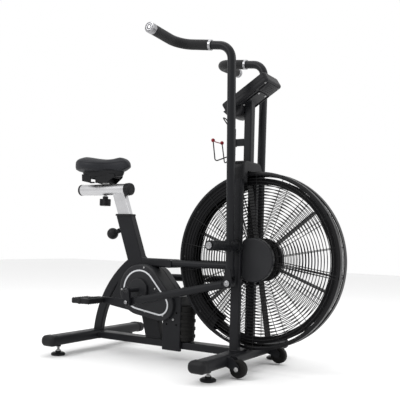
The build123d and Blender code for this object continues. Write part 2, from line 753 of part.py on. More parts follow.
def link_rod(side):
    """Round rod with a flat eye at each end; the rear eye carries its stub pin."""
    sx = -side
    rear = (bb_x + sx * pin_dx, bb_z + sx * pin_dz)
    front = (pivot_x, lever_z)
    slope = atan2(front[1] - rear[1], front[0] - rear[0])
    along = (cos(slope), sin(slope))
    y = side * arm_y
    reach = ((front[0] - rear[0]) ** 2 + (front[1] - rear[1]) ** 2) ** 0.5
    with BuildPart() as rod:
        with BuildSketch(Plane(origin=(rear[0] + 26 * along[0], y, rear[1] + 26 * along[1]),
                               z_dir=(along[0], 0, along[1]))):
            Circle(link_r)
        extrude(amount=reach - 52)
        fillet(rod.edges().filter_by(GeomType.CIRCLE), 5)
        for eye, inward in ((rear, 1), (front, -1)):
            with BuildSketch(y_slab(y + 12)):
                with Locations(eye):
                    Circle(18)
                with Locations((eye[0] + inward * 30 * along[0], eye[1] + inward * 30 * along[1])):
                    Circle(12)
                make_hull()
            extrude(amount=24)
        cylinder_y(front[0], front[1], link_pin_r + gap, y - 20, y + 20, Mode.SUBTRACT)
        cylinder_y(rear[0], rear[1], link_pin_r, *span(side, arm_y - 20, arm_y + 16.5))
    return rod


rod_right, rod_left = link_rod(-1), link_rod(1)

# ---- seat ----
post_top = 326.0
post_bottom = 112.0

with BuildPart() as slide_block:
    with BuildSketch(Plane.YZ.offset(slide_x0)):
        with Locations((0, slide_z)):
            Circle(slide_r)
    extrude(amount=slide_x1 - slide_x0)

with BuildPart() as seat_post:
    with BuildSketch(seat_plane(post_bottom)):
        RectangleRounded(post_a, post_b, 4)
        RectangleRounded(post_a - 4, post_b - 4, 2, mode=Mode.SUBTRACT)
    extrude(amount=post_top - post_bottom + 30)
    add(slide_block.part, mode=Mode.SUBTRACT)
    split(bisect_by=Plane.XY.offset(slide_z), keep=Keep.BOTTOM)
    for hole in range(5):
        at = seat_plane(pin_at + 28 * hole).origin
        with BuildSketch(Plane(origin=at, x_dir=(0, 1, 0), z_dir=-seat_plane(0).x_dir)):
            Circle(5.5)
        extrude(amount=50, mode=Mode.SUBTRACT)

with BuildPart() as slide_tube:
    with BuildSketch(Plane.YZ.offset(slide_x0 + 12)):
        with Locations((0, slide_z)):
            Circle(slide_r)
            Circle(slide_bore, mode=Mode.SUBTRACT)
    extrude(amount=slide_x1 - slide_x0 - 42)
    with BuildSketch(Plane.XY.offset(slide_z)):
        with Locations((neck_x - 24, 0)):
            SlotOverall(112, 15)
    extrude(amount=40, mode=Mode.SUBTRACT)
    with BuildSketch(Plane.XY.offset(slide_z)):
        with Locations((neck_x - 24, 0)):
            SlotOverall(90, 12)
    extrude(amount=-40, mode=Mode.SUBTRACT)

with BuildPart() as slide_end_caps:
    with BuildSketch(Plane.YZ.offset(slide_x0)):
        with Locations((0, slide_z)):
            Circle(slide_r + 0.5)
    extrude(amount=12)
    with BuildSketch(Plane.YZ.offset(slide_x1 - 30)):
        with Locations((0, slide_z)):
            Circle(slide_r + 2)
    extrude(amount=30)
    fillet(slide_end_caps.faces().sort_by(Axis.X)[0].edges(), 4)
    fillet(slide_end_caps.faces().sort_by(Axis.X)[-1].edges(), 6)

with BuildPart() as pop_pin:
    pin_pl = Plane(origin=seat_plane(pin_at).origin, x_dir=(0, 1, 0), z_dir=-seat_plane(0).x_dir)
    with BuildSketch(pin_pl.offset(32)):
        Circle(6)
    extrude(amount=60)
    with BuildSketch(pin_pl.offset(52)):
        Circle(10)
    extrude(amount=22)
    with Locations(pin_pl.offset(ball_at)):
        Sphere(ball_r)

with BuildPart() as saddle_slider:
    with BuildSketch(Plane.YZ.offset(neck_x - 42)):
        with Locations((0, slide_z)):
            Circle(slide_bore - 0.3)
    extrude(amount=84)
    with Locations((neck_x, 0, slide_z + 35)):
        Box(30, 13, 70)
    with Locations((neck_x, 0, 804)):
        Box(90, 56, 7)
    with BuildSketch(Plane.XY.offset(slide_z - slide_r - 1)):
        with Locations((neck_x, 0)):
            Circle(stem_r + gap)
    extrude(amount=slide_r - 7, mode=Mode.SUBTRACT)

with BuildPart() as star_knob:
    with BuildSketch(Plane.XY.offset(slide_z - 44)):
        with Locations((neck_x, 0)):
            Circle(stem_r)
    extrude(amount=34)
    with BuildSketch(Plane.XY.offset(slide_z - 44)):
        with Locations((neck_x, 0)):
            Circle(13)
    extrude(amount=12)
    with BuildSketch(Plane.XY.offset(slide_z - 76)):
        with Locations((neck_x, 0)):
            Circle(20)
            with PolarLocations(19, 6):
                Circle(8)
    extrude(amount=32)
    fillet(star_knob.faces().sort_by(Axis.Z)[0].edges(), 4)

with BuildPart() as saddle_shell:
    with BuildSketch(Plane.XY.offset(761)):
        with Locations((-556, 0)):
            Ellipse(70, 84)
        with Locations((-395, 0)):
            Circle(15)
        make_hull()
    extrude(amount=50.7)
    with BuildSketch(Plane.XY.offset(760)):
        with Locations((-556, 0)):
            Ellipse(65, 79)
        with Locations((-395, 0)):
            Circle(10)
        make_hull()
    extrude(amount=47.5, mode=Mode.SUBTRACT)

with BuildPart() as saddle_cushion:
    with BuildSketch(Plane.XY.offset(812)):
        with Locations((-556, 0)):
            Ellipse(88, 102)
        with Locations((-381, 0)):
            Circle(23)
        make_hull()
    extrude(amount=74)
    fillet(saddle_cushion.faces().sort_by(Axis.Z)[-1].edges(), 20)
    fillet(saddle_cushion.faces().sort_by(Axis.Z)[0].edges(), 12)

# ---- fan and its cage ----
fan_pl = Plane(origin=(fan_x, 0, fan_z), x_dir=(1, 0, 0), z_dir=(0, -1, 0))

with BuildPart() as fan_axle:
    cylinder_y(fan_x, fan_z, axle_r, -59, 59)
    cylinder_y(fan_x, fan_z, fan_cog_r, chain2_y - 1.5, chain2_y + 1.5)

with BuildPart() as fan_wheel:
    with BuildSketch(fan_pl.offset(-28)):
        Circle(hub_r)
        Circle(hub_r - 3, mode=Mode.SUBTRACT)
    extrude(amount=56)
    with BuildSketch(fan_pl.offset(-28)):
        Circle(24)
        Circle(axle_r, mode=Mode.SUBTRACT)
    extrude(amount=56)
    with BuildSketch(fan_pl.offset(-2)):
        Circle(hub_r)
        Circle(axle_r, mode=Mode.SUBTRACT)
    extrude(amount=4)
    with BuildSketch(fan_pl.offset(-blade_w / 2)):
        with PolarLocations((hub_r - 2 + hoop_inner) / 2, 6, start_angle=blade_angle):
            Rectangle(hoop_inner - hub_r + 2, blade_t)
        Circle(hoop_inner, mode=Mode.INTERSECT)
    extrude(amount=blade_w)

with BuildPart() as fan_hoop:
    with BuildSketch(fan_pl.offset(-2)):
        Circle(hoop_outer)
        Circle(hoop_inner, mode=Mode.SUBTRACT)
    extrude(amount=4)
    with BuildSketch(fan_pl.offset(-30)):
        with PolarLocations(hoop_inner + 12, 24, start_angle=5):
            Rectangle(20, 2)
    extrude(amount=28.5)

with BuildPart() as grilles:
    with BuildSketch(fan_pl.offset(cage_half - grille_t)):
        Circle(hub_r + 7)
        Circle(axle_r + 4, mode=Mode.SUBTRACT)
        for ring in range(10):
            with BuildSketch(mode=Mode.PRIVATE) as wire_ring:
                Circle(114 + 24 * ring)
                Circle(111.6 + 24 * ring, mode=Mode.SUBTRACT)
            add(wire_ring.sketch)
        with PolarLocations((hub_r + cage_r) / 2, 16, start_angle=11.25):
            Rectangle(cage_r - hub_r - 2, 2.4)
        with BuildSketch(mode=Mode.PRIVATE) as edge_ring:
            Circle(cage_r)
            Circle(cage_r - 6, mode=Mode.SUBTRACT)
        add(edge_ring.sketch)
    extrude(amount=grille_t)
    mirror(about=Plane.XZ)

with BuildPart() as cage_rim:
    with BuildSketch(fan_pl.offset(-cage_half + grille_t)):
        Circle(cage_r)
        Circle(cage_r - 2, mode=Mode.SUBTRACT)
    extrude(amount=12)
    with BuildSketch(fan_pl.offset(cage_half - grille_t - 12)):
        Circle(cage_r)
        Circle(cage_r - 2, mode=Mode.SUBTRACT)
    extrude(amount=12)
    with BuildSketch(fan_pl.offset(-cage_half + grille_t)):
        with PolarLocations(cage_r - 5, 9, start_angle=-9):
            Circle(4)
    extrude(amount=2 * (cage_half - grille_t))

with BuildPart() as wind_guard:
    for low, high, inner in ((-cage_half - 1.8, -cage_half, 292), (cage_half, cage_half + 1.8, 292),
                             (-cage_half - 1.8, cage_half + 1.8, cage_r)):
        with BuildSketch(fan_pl.offset(low)):
            with BuildLine():
                CenterArc((0, 0), cage_r + 2, 98, 139)
                Line((inner * cos(radians(98)), inner * sin(radians(98))),
                     ((cage_r + 2) * cos(radians(98)), (cage_r + 2) * sin(radians(98))))
                CenterArc((0, 0), inner, 98, 139)
                Line((inner * cos(radians(237)), inner * sin(radians(237))),
                     ((cage_r + 2) * cos(radians(237)), (cage_r + 2) * sin(radians(237))))
            make_face()
        extrude(amount=high - low)
    for side in (-1, 1):
        with Locations((leg_x, side * (cage_half + 1.8 + 52.5) / 2, 750)):
            Box(30, 52.5 - cage_half - 1.8, 18)

with BuildPart() as hub_covers:
    with BuildSketch(fan_pl.offset(cage_half)):
        Circle(hub_r + 7)
    extrude(amount=22)
    fillet(hub_covers.faces().filter_by(Axis.Y).sort_by(Axis.Y)[0].edges(), 7)
    with BuildSketch(fan_pl.offset(cage_half)):
        Circle(hub_r + 3)
    extrude(amount=19.5, mode=Mode.SUBTRACT)
    cylinder_y(fan_x, fan_z, 61, -60, -52, Mode.ADD)
    cylinder_y(fan_x, fan_z, 12, -59.3, -30, Mode.SUBTRACT)
    mirror(about=Plane.XZ)
    add(fork_legs.part, mode=Mode.SUBTRACT)
    with Locations((leg_x - 10, 0, fan_z)):
        Box(leg_dx + 24, 160, 260, mode=Mode.SUBTRACT)
    add(chains.part, mode=Mode.SUBTRACT)

# ---- labels and files ----
nodes = {
    "base_beam": base_beam, "rear_stabilizer": rear_stabilizer, "front_stabilizer": front_stabilizer,
    "stabilizer_end_caps": stabilizer_end_caps, "arch_tube": arch_tube, "drive_core": drive_core,
    "seat_mast": seat_mast, "mast_collar": mast_collar, "pedestal_tube": pedestal_tube,
    "drive_column": drive_column, "column_front_cover": column_front_cover, "top_tube": top_tube,
    "side_tubes": side_tubes, "drive_cover_right": drive_cover_right, "drive_cover_left": drive_cover_left,
    "cover_trim": cover_trim, "chains": chains, "fork_legs": fork_legs, "crown_cap": crown_cap,
    "console_mast": console_mast, "console_housing": console_housing,
    "console_screen": console_screen, "console_key": console_key, "bottle_cage": bottle_cage,
    "bottle_cage_tips": bottle_cage_tips, "foot_pegs": foot_pegs, "hub_covers": hub_covers,
    "grilles": grilles, "cage_rim": cage_rim,
    "wind_guard": wind_guard, "fan_wheel": fan_wheel, "fan_hoop": fan_hoop, "fan_axle": fan_axle,
    "jackshaft": jackshaft, "crank_axle": crank_axle, "crank_arms": crank_arms,
    "pedal_right": pedal_right, "pedal_left": pedal_left, "arm_right": arm_right, "arm_left": arm_left,
    "grip_right": grip_right, "grip_left": grip_left, "handle_trim_right": handle_trim_right,
    "handle_trim_left": handle_trim_left, "rod_right": rod_right, "rod_left": rod_left,
    "seat_post": seat_post, "slide_tube": slide_tube, "slide_end_caps": slide_end_caps,
    "pop_pin": pop_pin, "saddle_slider": saddle_slider, "star_knob": star_knob,
    "saddle_shell": saddle_shell, "saddle_cushion": saddle_cushion, "foot_front_right": foot_front_right,
    "foot_front_left": foot_front_left, "foot_rear_right": foot_rear_right,
    "foot_rear_left": foot_rear_left, "wheel_right": wheel_right, "wheel_left": wheel_left,
}

os.makedirs("parts", exist_ok=True)
for name, piece in nodes.items():
    piece.part.label = name
    export_step(piece.part, f"parts/{name}.step")
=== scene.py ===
"""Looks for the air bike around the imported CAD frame. Metres; X is forward, Y the rider's left, Z up."""

from math import acos, cos, exp, pi, radians, sin, sqrt, tan

import bmesh
import bpy
from mathutils import Matrix, Vector, noise
from mathutils.bvhtree import BVHTree


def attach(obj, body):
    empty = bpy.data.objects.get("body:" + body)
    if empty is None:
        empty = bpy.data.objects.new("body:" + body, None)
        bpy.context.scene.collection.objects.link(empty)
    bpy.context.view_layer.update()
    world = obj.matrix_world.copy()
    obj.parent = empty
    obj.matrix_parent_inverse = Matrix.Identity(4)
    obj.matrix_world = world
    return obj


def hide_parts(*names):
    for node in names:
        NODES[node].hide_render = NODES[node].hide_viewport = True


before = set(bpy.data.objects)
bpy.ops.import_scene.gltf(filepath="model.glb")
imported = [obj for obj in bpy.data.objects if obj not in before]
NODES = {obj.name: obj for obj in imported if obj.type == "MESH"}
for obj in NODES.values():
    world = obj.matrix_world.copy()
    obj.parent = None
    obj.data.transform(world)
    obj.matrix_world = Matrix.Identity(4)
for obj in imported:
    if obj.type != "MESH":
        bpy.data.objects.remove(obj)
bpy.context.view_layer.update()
SIDES = ((-1, "right"), (1, "left"))

# ---- places taken from the CAD, in metres ----
FAN = Vector((0.3025, 0, 0.437))
CRANK = Vector((-0.2385, 0, 0.287))
PIN = (0.0058, -0.0476)
PEDAL_REACH = sqrt(0.165 ** 2 - 0.0476 ** 2)
PIVOT = Vector((0.2405, 0.125, 0.490))
LEVER_Z = 0.345
ARM_TOP, ARM_ELBOW, ARM_END = (0.236, 0.148, 1.276), (-0.0055, 0.163, 1.311), (-0.0075, 0.361, 1.320)
LEG_X, LEG_Y = 0.2385, 0.065
FERRULE_AT, FERRULE_LEN, PLUG_RING = 0.089, 0.012, 0.018
TUBE_R, GRIP_R, ELBOW_R = 0.017, 0.021, 0.070
SEAT_LEAN = radians(20.65)
CONSOLE, CONSOLE_TILT, CONSOLE_SIZE = Vector((0.254, 0, 1.105)), radians(32), (0.222, 0.140, 0.042)
SEAT_FOOT = Vector((-0.301, 0, 0.412))
SLIDE_Z, SLIDE_FRONT_X, NECK_X = 0.732, -0.3475, -0.5005
FRONT_FOOT, REAR_FOOT = (0.2475, 0.281), (-0.5175, 0.251)
WHEEL = (0.3185, 0.038)
BEAM_Z = 0.065
UP = Vector((0, 0, 1))


def side_of(point, side):
    """A point given for the left side, moved to the side asked for."""
    return Vector((point[0], side * point[1], point[2]))


# ---- materials ----
DRIFT = 14


def surface(name, colour, tint, rough, metallic=0.0, grain=1100, grain_depth=0.00006, wear=None,
            wear_amount=0.5, stretch=None, turn=(0, 0, 0), cells=None, cell_depth=0.0002, bevel=0.0007,
            coat=0.0, sheen=0.0, specular=0.15):
    """Two close colours that drift, a roughness range, a fine grain, optional cells and worn edges."""
    mat = bpy.data.materials.new(name)
    mat.use_nodes = True
    tree = mat.node_tree
    shader = tree.nodes["Principled BSDF"]
    shader.inputs["Metallic"].default_value = metallic
    shader.inputs["Coat Weight"].default_value = coat
    shader.inputs["Coat Roughness"].default_value = 0.25
    shader.inputs["Sheen Weight"].default_value = sheen
    shader.inputs["Specular IOR Level"].default_value = specular

    def node(kind, **inputs):
        made = tree.nodes.new(kind)
        for key, value in inputs.items():
            if isinstance(value, bpy.types.NodeSocket):
                tree.links.new(value, made.inputs[key])
            else:
                made.inputs[key].default_value = value
        return made

    coords = node("ShaderNodeTexCoord").outputs["Object"]
    broad = node("ShaderNodeTexNoise", Vector=coords, Scale=DRIFT, Detail=5.0, Roughness=0.6).outputs["Fac"]
    if stretch:
        mapped = node("ShaderNodeMapping", Vector=coords)
        mapped.inputs["Rotation"].default_value = turn
        mapped.inputs["Scale"].default_value = stretch
        mapped = mapped.outputs["Vector"]
    else:
        mapped = coords
    fine = node("ShaderNodeTexNoise", Vector=mapped, Scale=grain, Detail=3.0, Roughness=0.55).outputs["Fac"]
    mix = tree.nodes.new("ShaderNodeMix")
    mix.data_type = "RGBA"
    mix.inputs[6].default_value = (*colour, 1)
    mix.inputs[7].default_value = (*tint, 1)
    tree.links.new(broad, mix.inputs[0])
    paint = mix.outputs[2]
    soft = node("ShaderNodeBevel", Radius=bevel)
    soft.samples = 4
    if wear:
        geometry = tree.nodes.new("ShaderNodeNewGeometry")
        dot = tree.nodes.new("ShaderNodeVectorMath")
        dot.operation = "DOT_PRODUCT"
        tree.links.new(soft.outputs["Normal"], dot.inputs[0])
        tree.links.new(geometry.outputs["Normal"], dot.inputs[1])
        edge = node("ShaderNodeMapRange", Value=dot.outputs["Value"])
        edge.inputs["From Min"].default_value = 0.995
        edge.inputs["From Max"].default_value = 0.80
        patch = node("ShaderNodeTexNoise", Vector=coords, Scale=120.0, Detail=4.0).outputs["Fac"]
        ramp = node("ShaderNodeMapRange", Value=patch)
        ramp.inputs["From Min"].default_value = 0.42
        ramp.inputs["From Max"].default_value = 0.68
        ramp.inputs["To Max"].default_value = wear_amount
        mask = tree.nodes.new("ShaderNodeMath")
        mask.operation = "MULTIPLY"
        mask.use_clamp = True
        tree.links.new(edge.outputs[0], mask.inputs[0])
        tree.links.new(ramp.outputs[0], mask.inputs[1])
        worn = tree.nodes.new("ShaderNodeMix")
        worn.data_type = "RGBA"
        tree.links.new(mask.outputs[0], worn.inputs[0])
        tree.links.new(paint, worn.inputs[6])
        worn.inputs[7].default_value = (*wear, 1)
        paint = worn.outputs[2]
    tree.links.new(paint, shader.inputs["Base Color"])
    gloss = node("ShaderNodeMapRange", Value=broad)
    gloss.inputs["From Min"].default_value = 0.3
    gloss.inputs["From Max"].default_value = 0.7
    gloss.inputs["To Min"].default_value = rough[0]
    gloss.inputs["To Max"].default_value = rough[1]
    tree.links.new(gloss.outputs[0], shader.inputs["Roughness"])
    bump = node("ShaderNodeBump", Height=fine, Strength=0.5, Distance=grain_depth)
    tree.links.new(soft.outputs["Normal"], bump.inputs["Normal"])
    if cells:
        voronoi = node("ShaderNodeTexVoronoi", Vector=coords, Scale=cells)
        voronoi.feature = "DISTANCE_TO_EDGE"
        second = node("ShaderNodeBump", Height=voronoi.outputs["Distance"], Strength=0.6, Distance=cell_depth)
        tree.links.new(bump.outputs["Normal"], second.inputs["Normal"])
        bump = second
    tree.links.new(bump.outputs["Normal"], shader.inputs["Normal"])
    return mat


PAINT = surface("powder_coat", (0.0070, 0.0073, 0.0088), (0.0104, 0.0108, 0.0124), (0.36, 0.48), grain=950,
                grain_depth=0.00012, wear=(0.07, 0.07, 0.075), wear_amount=0.6)
# darker black: the fan's own paint, and painted shade on the guard's flat faces
FAN_PAINT_AND_GUARD_SHADE = surface("fan_paint_and_guard_shade", (0.0042, 0.0042, 0.0048), (0.0070, 0.0070, 0.0078), (0.42, 0.55), grain=800,
                    wear=(0.035, 0.035, 0.036), specular=0.10)
COVER = surface("cover_plastic", (0.0100, 0.0104, 0.0122), (0.0140, 0.0144, 0.0162), (0.46, 0.56), cells=1500,
                cell_depth=0.00008, wear=(0.05, 0.05, 0.052), bevel=0.001, specular=0.24)
PLASTIC = surface("black_plastic", (0.0076, 0.0077, 0.0086), (0.0112, 0.0113, 0.0124), (0.44, 0.56),
                  cells=1200, cell_depth=0.00009, wear=(0.05, 0.05, 0.05), wear_amount=0.45)
CONSOLE_SKIN = surface("console_plastic", (0.0085, 0.0085, 0.0100), (0.0140, 0.0140, 0.0155), (0.38, 0.5),
                       cells=1400, cell_depth=0.00008, wear=(0.07, 0.07, 0.072), wear_amount=0.6)
RUBBER = surface("black_rubber", (0.0055, 0.0055, 0.0055), (0.0105, 0.0100, 0.0095), (0.62, 0.8), grain=700,
                 grain_depth=0.0002, wear=(0.045, 0.044, 0.042), wear_amount=0.7)
FOAM = surface("grip_foam", (0.0085, 0.0085, 0.0095), (0.0135, 0.0135, 0.0145), (0.82, 0.95), grain=1600,
               grain_depth=0.0003, cells=900, cell_depth=0.00025, sheen=0.10, specular=0.22)
VINYL = surface("saddle_vinyl", (0.0078, 0.0086, 0.0114), (0.0122, 0.0130, 0.0164), (0.42, 0.56), grain=1500,
                grain_depth=0.00008, cells=520, cell_depth=0.00028, sheen=0.04, specular=0.22)
THREAD = surface("thread", (0.015, 0.015, 0.016), (0.03, 0.03, 0.032), (0.6, 0.75), grain=3500,
                 grain_depth=0.0001)
SILVER = surface("brushed_silver", (0.46, 0.46, 0.47), (0.56, 0.56, 0.57), (0.28, 0.4), metallic=0.9,
                 grain=60, grain_depth=0.00005, stretch=(0.8, 30, 30), wear=(0.8, 0.8, 0.8), wear_amount=0.5)
POST = surface("post_silver", (0.44, 0.44, 0.45), (0.54, 0.54, 0.55), (0.3, 0.42), metallic=0.9, grain=60,
               grain_depth=0.00005, stretch=(30, 30, 0.8), turn=(0, SEAT_LEAN, 0), wear=(0.85, 0.85, 0.85))
TRIM = surface("silver_paint", (0.55, 0.56, 0.58), (0.63, 0.64, 0.66), (0.34, 0.46), metallic=0.35,
               grain=1300, grain_depth=0.00004, wear=(0.3, 0.3, 0.3), wear_amount=0.4)
CHROME = surface("turned_metal", (0.27, 0.27, 0.28), (0.36, 0.36, 0.37), (0.24, 0.36), metallic=1.0,
                 grain=900, grain_depth=0.00003, wear=(0.9, 0.9, 0.9), wear_amount=0.4)
STEEL = surface("zinc_steel", (0.36, 0.36, 0.37), (0.48, 0.48, 0.47), (0.26, 0.42), metallic=1.0, grain=500,
                grain_depth=0.00006, wear=(0.7, 0.7, 0.7))
# dark steel for bolts; on the handle plugs it is painted shade in the end grooves
DARK_STEEL_AND_GROOVE_SHADE = surface("dark_bolt_and_groove_shade", (0.03, 0.03, 0.032), (0.05, 0.05, 0.052), (0.3, 0.42), metallic=0.8,
                     grain=700, wear=(0.3, 0.3, 0.3), wear_amount=0.8)
WIRE = surface("wire_coat", (0.0050, 0.0050, 0.0056), (0.0085, 0.0085, 0.0092), (0.3, 0.42), grain=700,
               bevel=0.0003)
RED = surface("red_tip", (0.16, 0.010, 0.016), (0.21, 0.016, 0.022), (0.34, 0.46), grain=900,
              grain_depth=0.0001, wear=(0.3, 0.06, 0.06))
GLASS = surface("screen_window", (0.006, 0.007, 0.009), (0.010, 0.011, 0.013), (0.10, 0.16), grain=2500,
                grain_depth=0.00001, coat=0.6)
KEY = surface("soft_key", (0.10, 0.10, 0.105), (0.13, 0.13, 0.135), (0.6, 0.7), grain=900, grain_depth=0.0001,
              wear=(0.2, 0.2, 0.2))
WELD = surface("weld", (0.012, 0.012, 0.013), (0.022, 0.022, 0.022), (0.34, 0.5), grain=260,
               grain_depth=0.0006)

for slot_material, names in {
    PAINT: "base_beam rear_stabilizer front_stabilizer arch_tube drive_core seat_mast pedestal_tube "
           "drive_column top_tube side_tubes fork_legs console_mast arm_right arm_left rod_right rod_left "
           "crank_arms foot_pegs",
    FAN_PAINT_AND_GUARD_SHADE: "fan_wheel fan_hoop",
    COVER: "drive_cover_right drive_cover_left hub_covers crank_axle",
    PLASTIC: "stabilizer_end_caps mast_collar crown_cap pedal_right pedal_left slide_end_caps "
             "star_knob pop_pin foot_front_right foot_front_left foot_rear_right foot_rear_left",
    CONSOLE_SKIN: "console_housing",
    RUBBER: "wheel_right wheel_left column_front_cover",
    TRIM: "cover_trim",
    SILVER: "slide_tube",
    POST: "seat_post",
    STEEL: "chains fan_axle jackshaft saddle_slider",
    WIRE: "bottle_cage",
    RED: "bottle_cage_tips",
    GLASS: "console_screen",
    KEY: "console_key",
}.items():
    for cad_name in names.split():
        for material_slot in NODES[cad_name].material_slots:
            material_slot.material = slot_material


# ---- mesh helpers ----
def loft(bm, rings, closed=False, cap=True):
    """Joins rings of points, one after another, into a skin; a ring of one point is a tip."""
    rows = [[bm.verts.new(p) for p in ring] for ring in rings]
    pairs = list(zip(rows, rows[1:])) + ([(rows[-1], rows[0])] if closed else [])
    for a, b in pairs:
        for i in range(max(len(a), len(b))):
            j = (i + 1) % max(len(a), len(b))
            corners = [a[i % len(a)], a[j % len(a)], b[j % len(b)], b[i % len(b)]]
            unique = list(dict.fromkeys(corners))
            if len(unique) > 2:
                bm.faces.new(unique)
    if cap and not closed:
        for row in (rows[0], rows[-1]):
            if len(row) > 2:
                bm.faces.new(row)
    return rows


def circle(centre, axis, radius, count, start=0.0):
    """Points on a circle about an axis."""
    axis = Vector(axis).normalized()
    u = axis.orthogonal().normalized()
    v = axis.cross(u)
    return [Vector(centre) + (u * cos(t) + v * sin(t)) * radius
            for t in (start + 2 * pi * i / count for i in range(count))]


def lathe(bm, profile, base, axis, count=32):
    """Revolves (radius, height) pairs about an axis through base; a zero radius is a tip."""
    axis = Vector(axis).normalized()
    rings = []
    for radius, height in profile:
        centre = Vector(base) + axis * height
        rings.append([centre] if radius < 1e-6 else circle(centre, axis, radius, count))
    loft(bm, rings)


def hoop(bm, profile, base, axis, count, start=0.0, sweep=2 * pi):
    """Sweeps a closed profile of (radius, height) pairs round an axis, for a full turn or part of one."""
    axis = Vector(axis).normalized()
    u = Vector((1, 0, 0))
    v = Vector((0, 0, 1))
    full = abs(sweep - 2 * pi) < 1e-6
    rings = []
    for i in range(count if full else count + 1):
        t = start + sweep * i / count
        out = u * cos(t) + v * sin(t)
        rings.append([Vector(base) + out * r + axis * h for r, h in profile])
    loft(bm, rings, closed=full)


def tube(bm, points, radius, count=8, closed=False):
    """Round bar along a line of points; radius is one number, or one for each point."""
    points = [Vector(p) for p in points]
    total = len(points)
    radii = radius if isinstance(radius, (list, tuple)) else [radius] * total
    rings = []
    side = None
    for i, p in enumerate(points):
        before = points[i - 1] if i or closed else p
        after = points[(i + 1) % total] if i < total - 1 or closed else p
        along = (after - before).normalized()
        side = along.orthogonal() if side is None else side - along * side.dot(along)
        side.normalize()
        other = along.cross(side)
        rings.append([p + (side * cos(t) + other * sin(t)) * radii[i]
                      for t in (2 * pi * k / count for k in range(count))])
    loft(bm, rings, closed=closed)


def round_wire(bm, centre, radius, wire, y, count=120, sections=6):
    """A wire ring about the Y axis."""
    profile = [(radius + wire * cos(t), y + wire * sin(t))
               for t in (2 * pi * k / sections for k in range(sections))]
    hoop(bm, profile, centre, (0, 1, 0), count)


def piece(name, bm, material, body, stands_for=(), angle=38, bevel=0.0):
    """Makes the mesh an object that rides on a CAD body."""
    bmesh.ops.recalc_face_normals(bm, faces=bm.faces)
    mesh = bpy.data.meshes.new(name)
    bm.to_mesh(mesh)
    bm.free()
    for polygon in mesh.polygons:
        polygon.use_smooth = True
    mesh.set_sharp_from_angle(angle=radians(angle))
    obj = bpy.data.objects.new(name, mesh)
    bpy.context.scene.collection.objects.link(obj)
    mesh.materials.append(material)
    if bevel:
        modifier = obj.modifiers.new("soft_edges", "BEVEL")
        modifier.width = bevel
        modifier.segments = 2
        modifier.limit_method = "ANGLE"
    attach(obj, body)
    if stands_for:
        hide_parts(*stands_for)
    return obj


def dome_bolt(bm, at, axis, radius, height, socket=True):
    """Button head on a washer, with a socket in its crown."""
    lathe(bm, [(0, -0.001), (radius * 1.35, -0.001), (radius * 1.35, 0.0006), (radius * 1.25, 0.0012),
               (radius, 0.0012)], at, axis, 24)
    head = [(0, 0.0008), (radius, 0.0008), (radius, height * 0.35), (radius * 0.86, height * 0.72),
            (radius * 0.6, height), (radius * 0.42, height)]
    if socket:
        head += [(radius * 0.40, height * 0.97), (radius * 0.38, height * 0.4), (0, height * 0.4)]
    else:
        head += [(0, height)]
    lathe(bm, head, at, axis, 24)


def hex_bolt(bm, at, axis, radius, height):
    """Six-sided head with a chamfered crown on a washer."""
    lathe(bm, [(0, -0.001), (radius * 1.4, -0.001), (radius * 1.4, 0.0008), (radius * 1.3, 0.0014),
               (0, 0.0014)], at, axis, 24)
    lathe(bm, [(0, 0.001), (radius, 0.001), (radius, height * 0.8), (radius * 0.86, height), (0, height)],
          at, axis, 6)


def weld_loop(bm, corners, radius=0.0028, step=0.003, seed=0):
    """Rippled bead along a closed line of corners."""
    corners = [Vector(c) for c in corners]
    points, radii = [], []
    for a, b in zip(corners, corners[1:] + corners[:1]):
        count = max(1, int((b - a).length / step))
        for i in range(count):
            p = a.lerp(b, i / count)
            points.append(p)
            uneven = 0.12 * noise.noise(p * 300 + Vector((seed, 0, 0)))
            radii.append(radius * (1 + 0.16 * sin(len(points) * 1.9) + uneven))
    tube(bm, points, radii, 7, closed=True)


def rounded_rect(cx, cy, width, depth, radius, z, count=4):
    """Corner-rounded rectangle in a level plane, as points."""
    points = []
    for k, (sx, sy) in enumerate(((1, 1), (-1, 1), (-1, -1), (1, -1))):
        for i in range(count + 1):
            t = k * pi / 2 + pi / 2 * i / count
            points.append(Vector((cx + sx * (width / 2 - radius) + radius * cos(t),
                                  cy + sy * (depth / 2 - radius) + radius * sin(t), z)))
    return points


# ---- fan cage: round wires, rim hoops, clips and the sheet guard ----
RING_COUNT, FIRST_RING, RING_PITCH, RING_WIRE, RING_Y = 20, 0.1005, 0.0124, 0.00165, 0.0350
SPOKE_COUNT, SPOKE_WIRE, SPOKE_Y = 18, 0.0014, 0.0362
STAY_COUNT, STAY_GAP, STAY_WIRE, STAY_Y = 3, 0.006, 0.0019, 0.0358
FIRST_CLIP, CLIP_COUNT, CLIP_STEP = -9, 9, 40


def spoke_axes(degrees):
    """Unit vectors outward and round the cage at an angle."""
    t = radians(degrees)
    return Vector((cos(t), 0, sin(t))), Vector((-sin(t), 0, cos(t)))


for side, side_name in SIDES:
    bm = bmesh.new()
    for ring in range(RING_COUNT):
        round_wire(bm, FAN, FIRST_RING + RING_PITCH * ring, RING_WIRE, side * RING_Y)
    for spoke in range(SPOKE_COUNT):
        out, _ = spoke_axes(10 + 20 * spoke)
        tube(bm, [FAN + out * r + Vector((0, side * SPOKE_Y, 0)) for r in (0.078, 0.3455)], SPOKE_WIRE, 6)
    for pair in range(STAY_COUNT):
        out, across = spoke_axes(FIRST_CLIP + 120 * pair)
        for offset in (-STAY_GAP, STAY_GAP):
            beside = FAN + across * offset + Vector((0, side * STAY_Y, 0))
            tube(bm, [beside + out * r for r in (0.080, 0.346)], STAY_WIRE, 6)
    piece("cage_wires_" + side_name, bm, WIRE, "frame", ("grilles",))

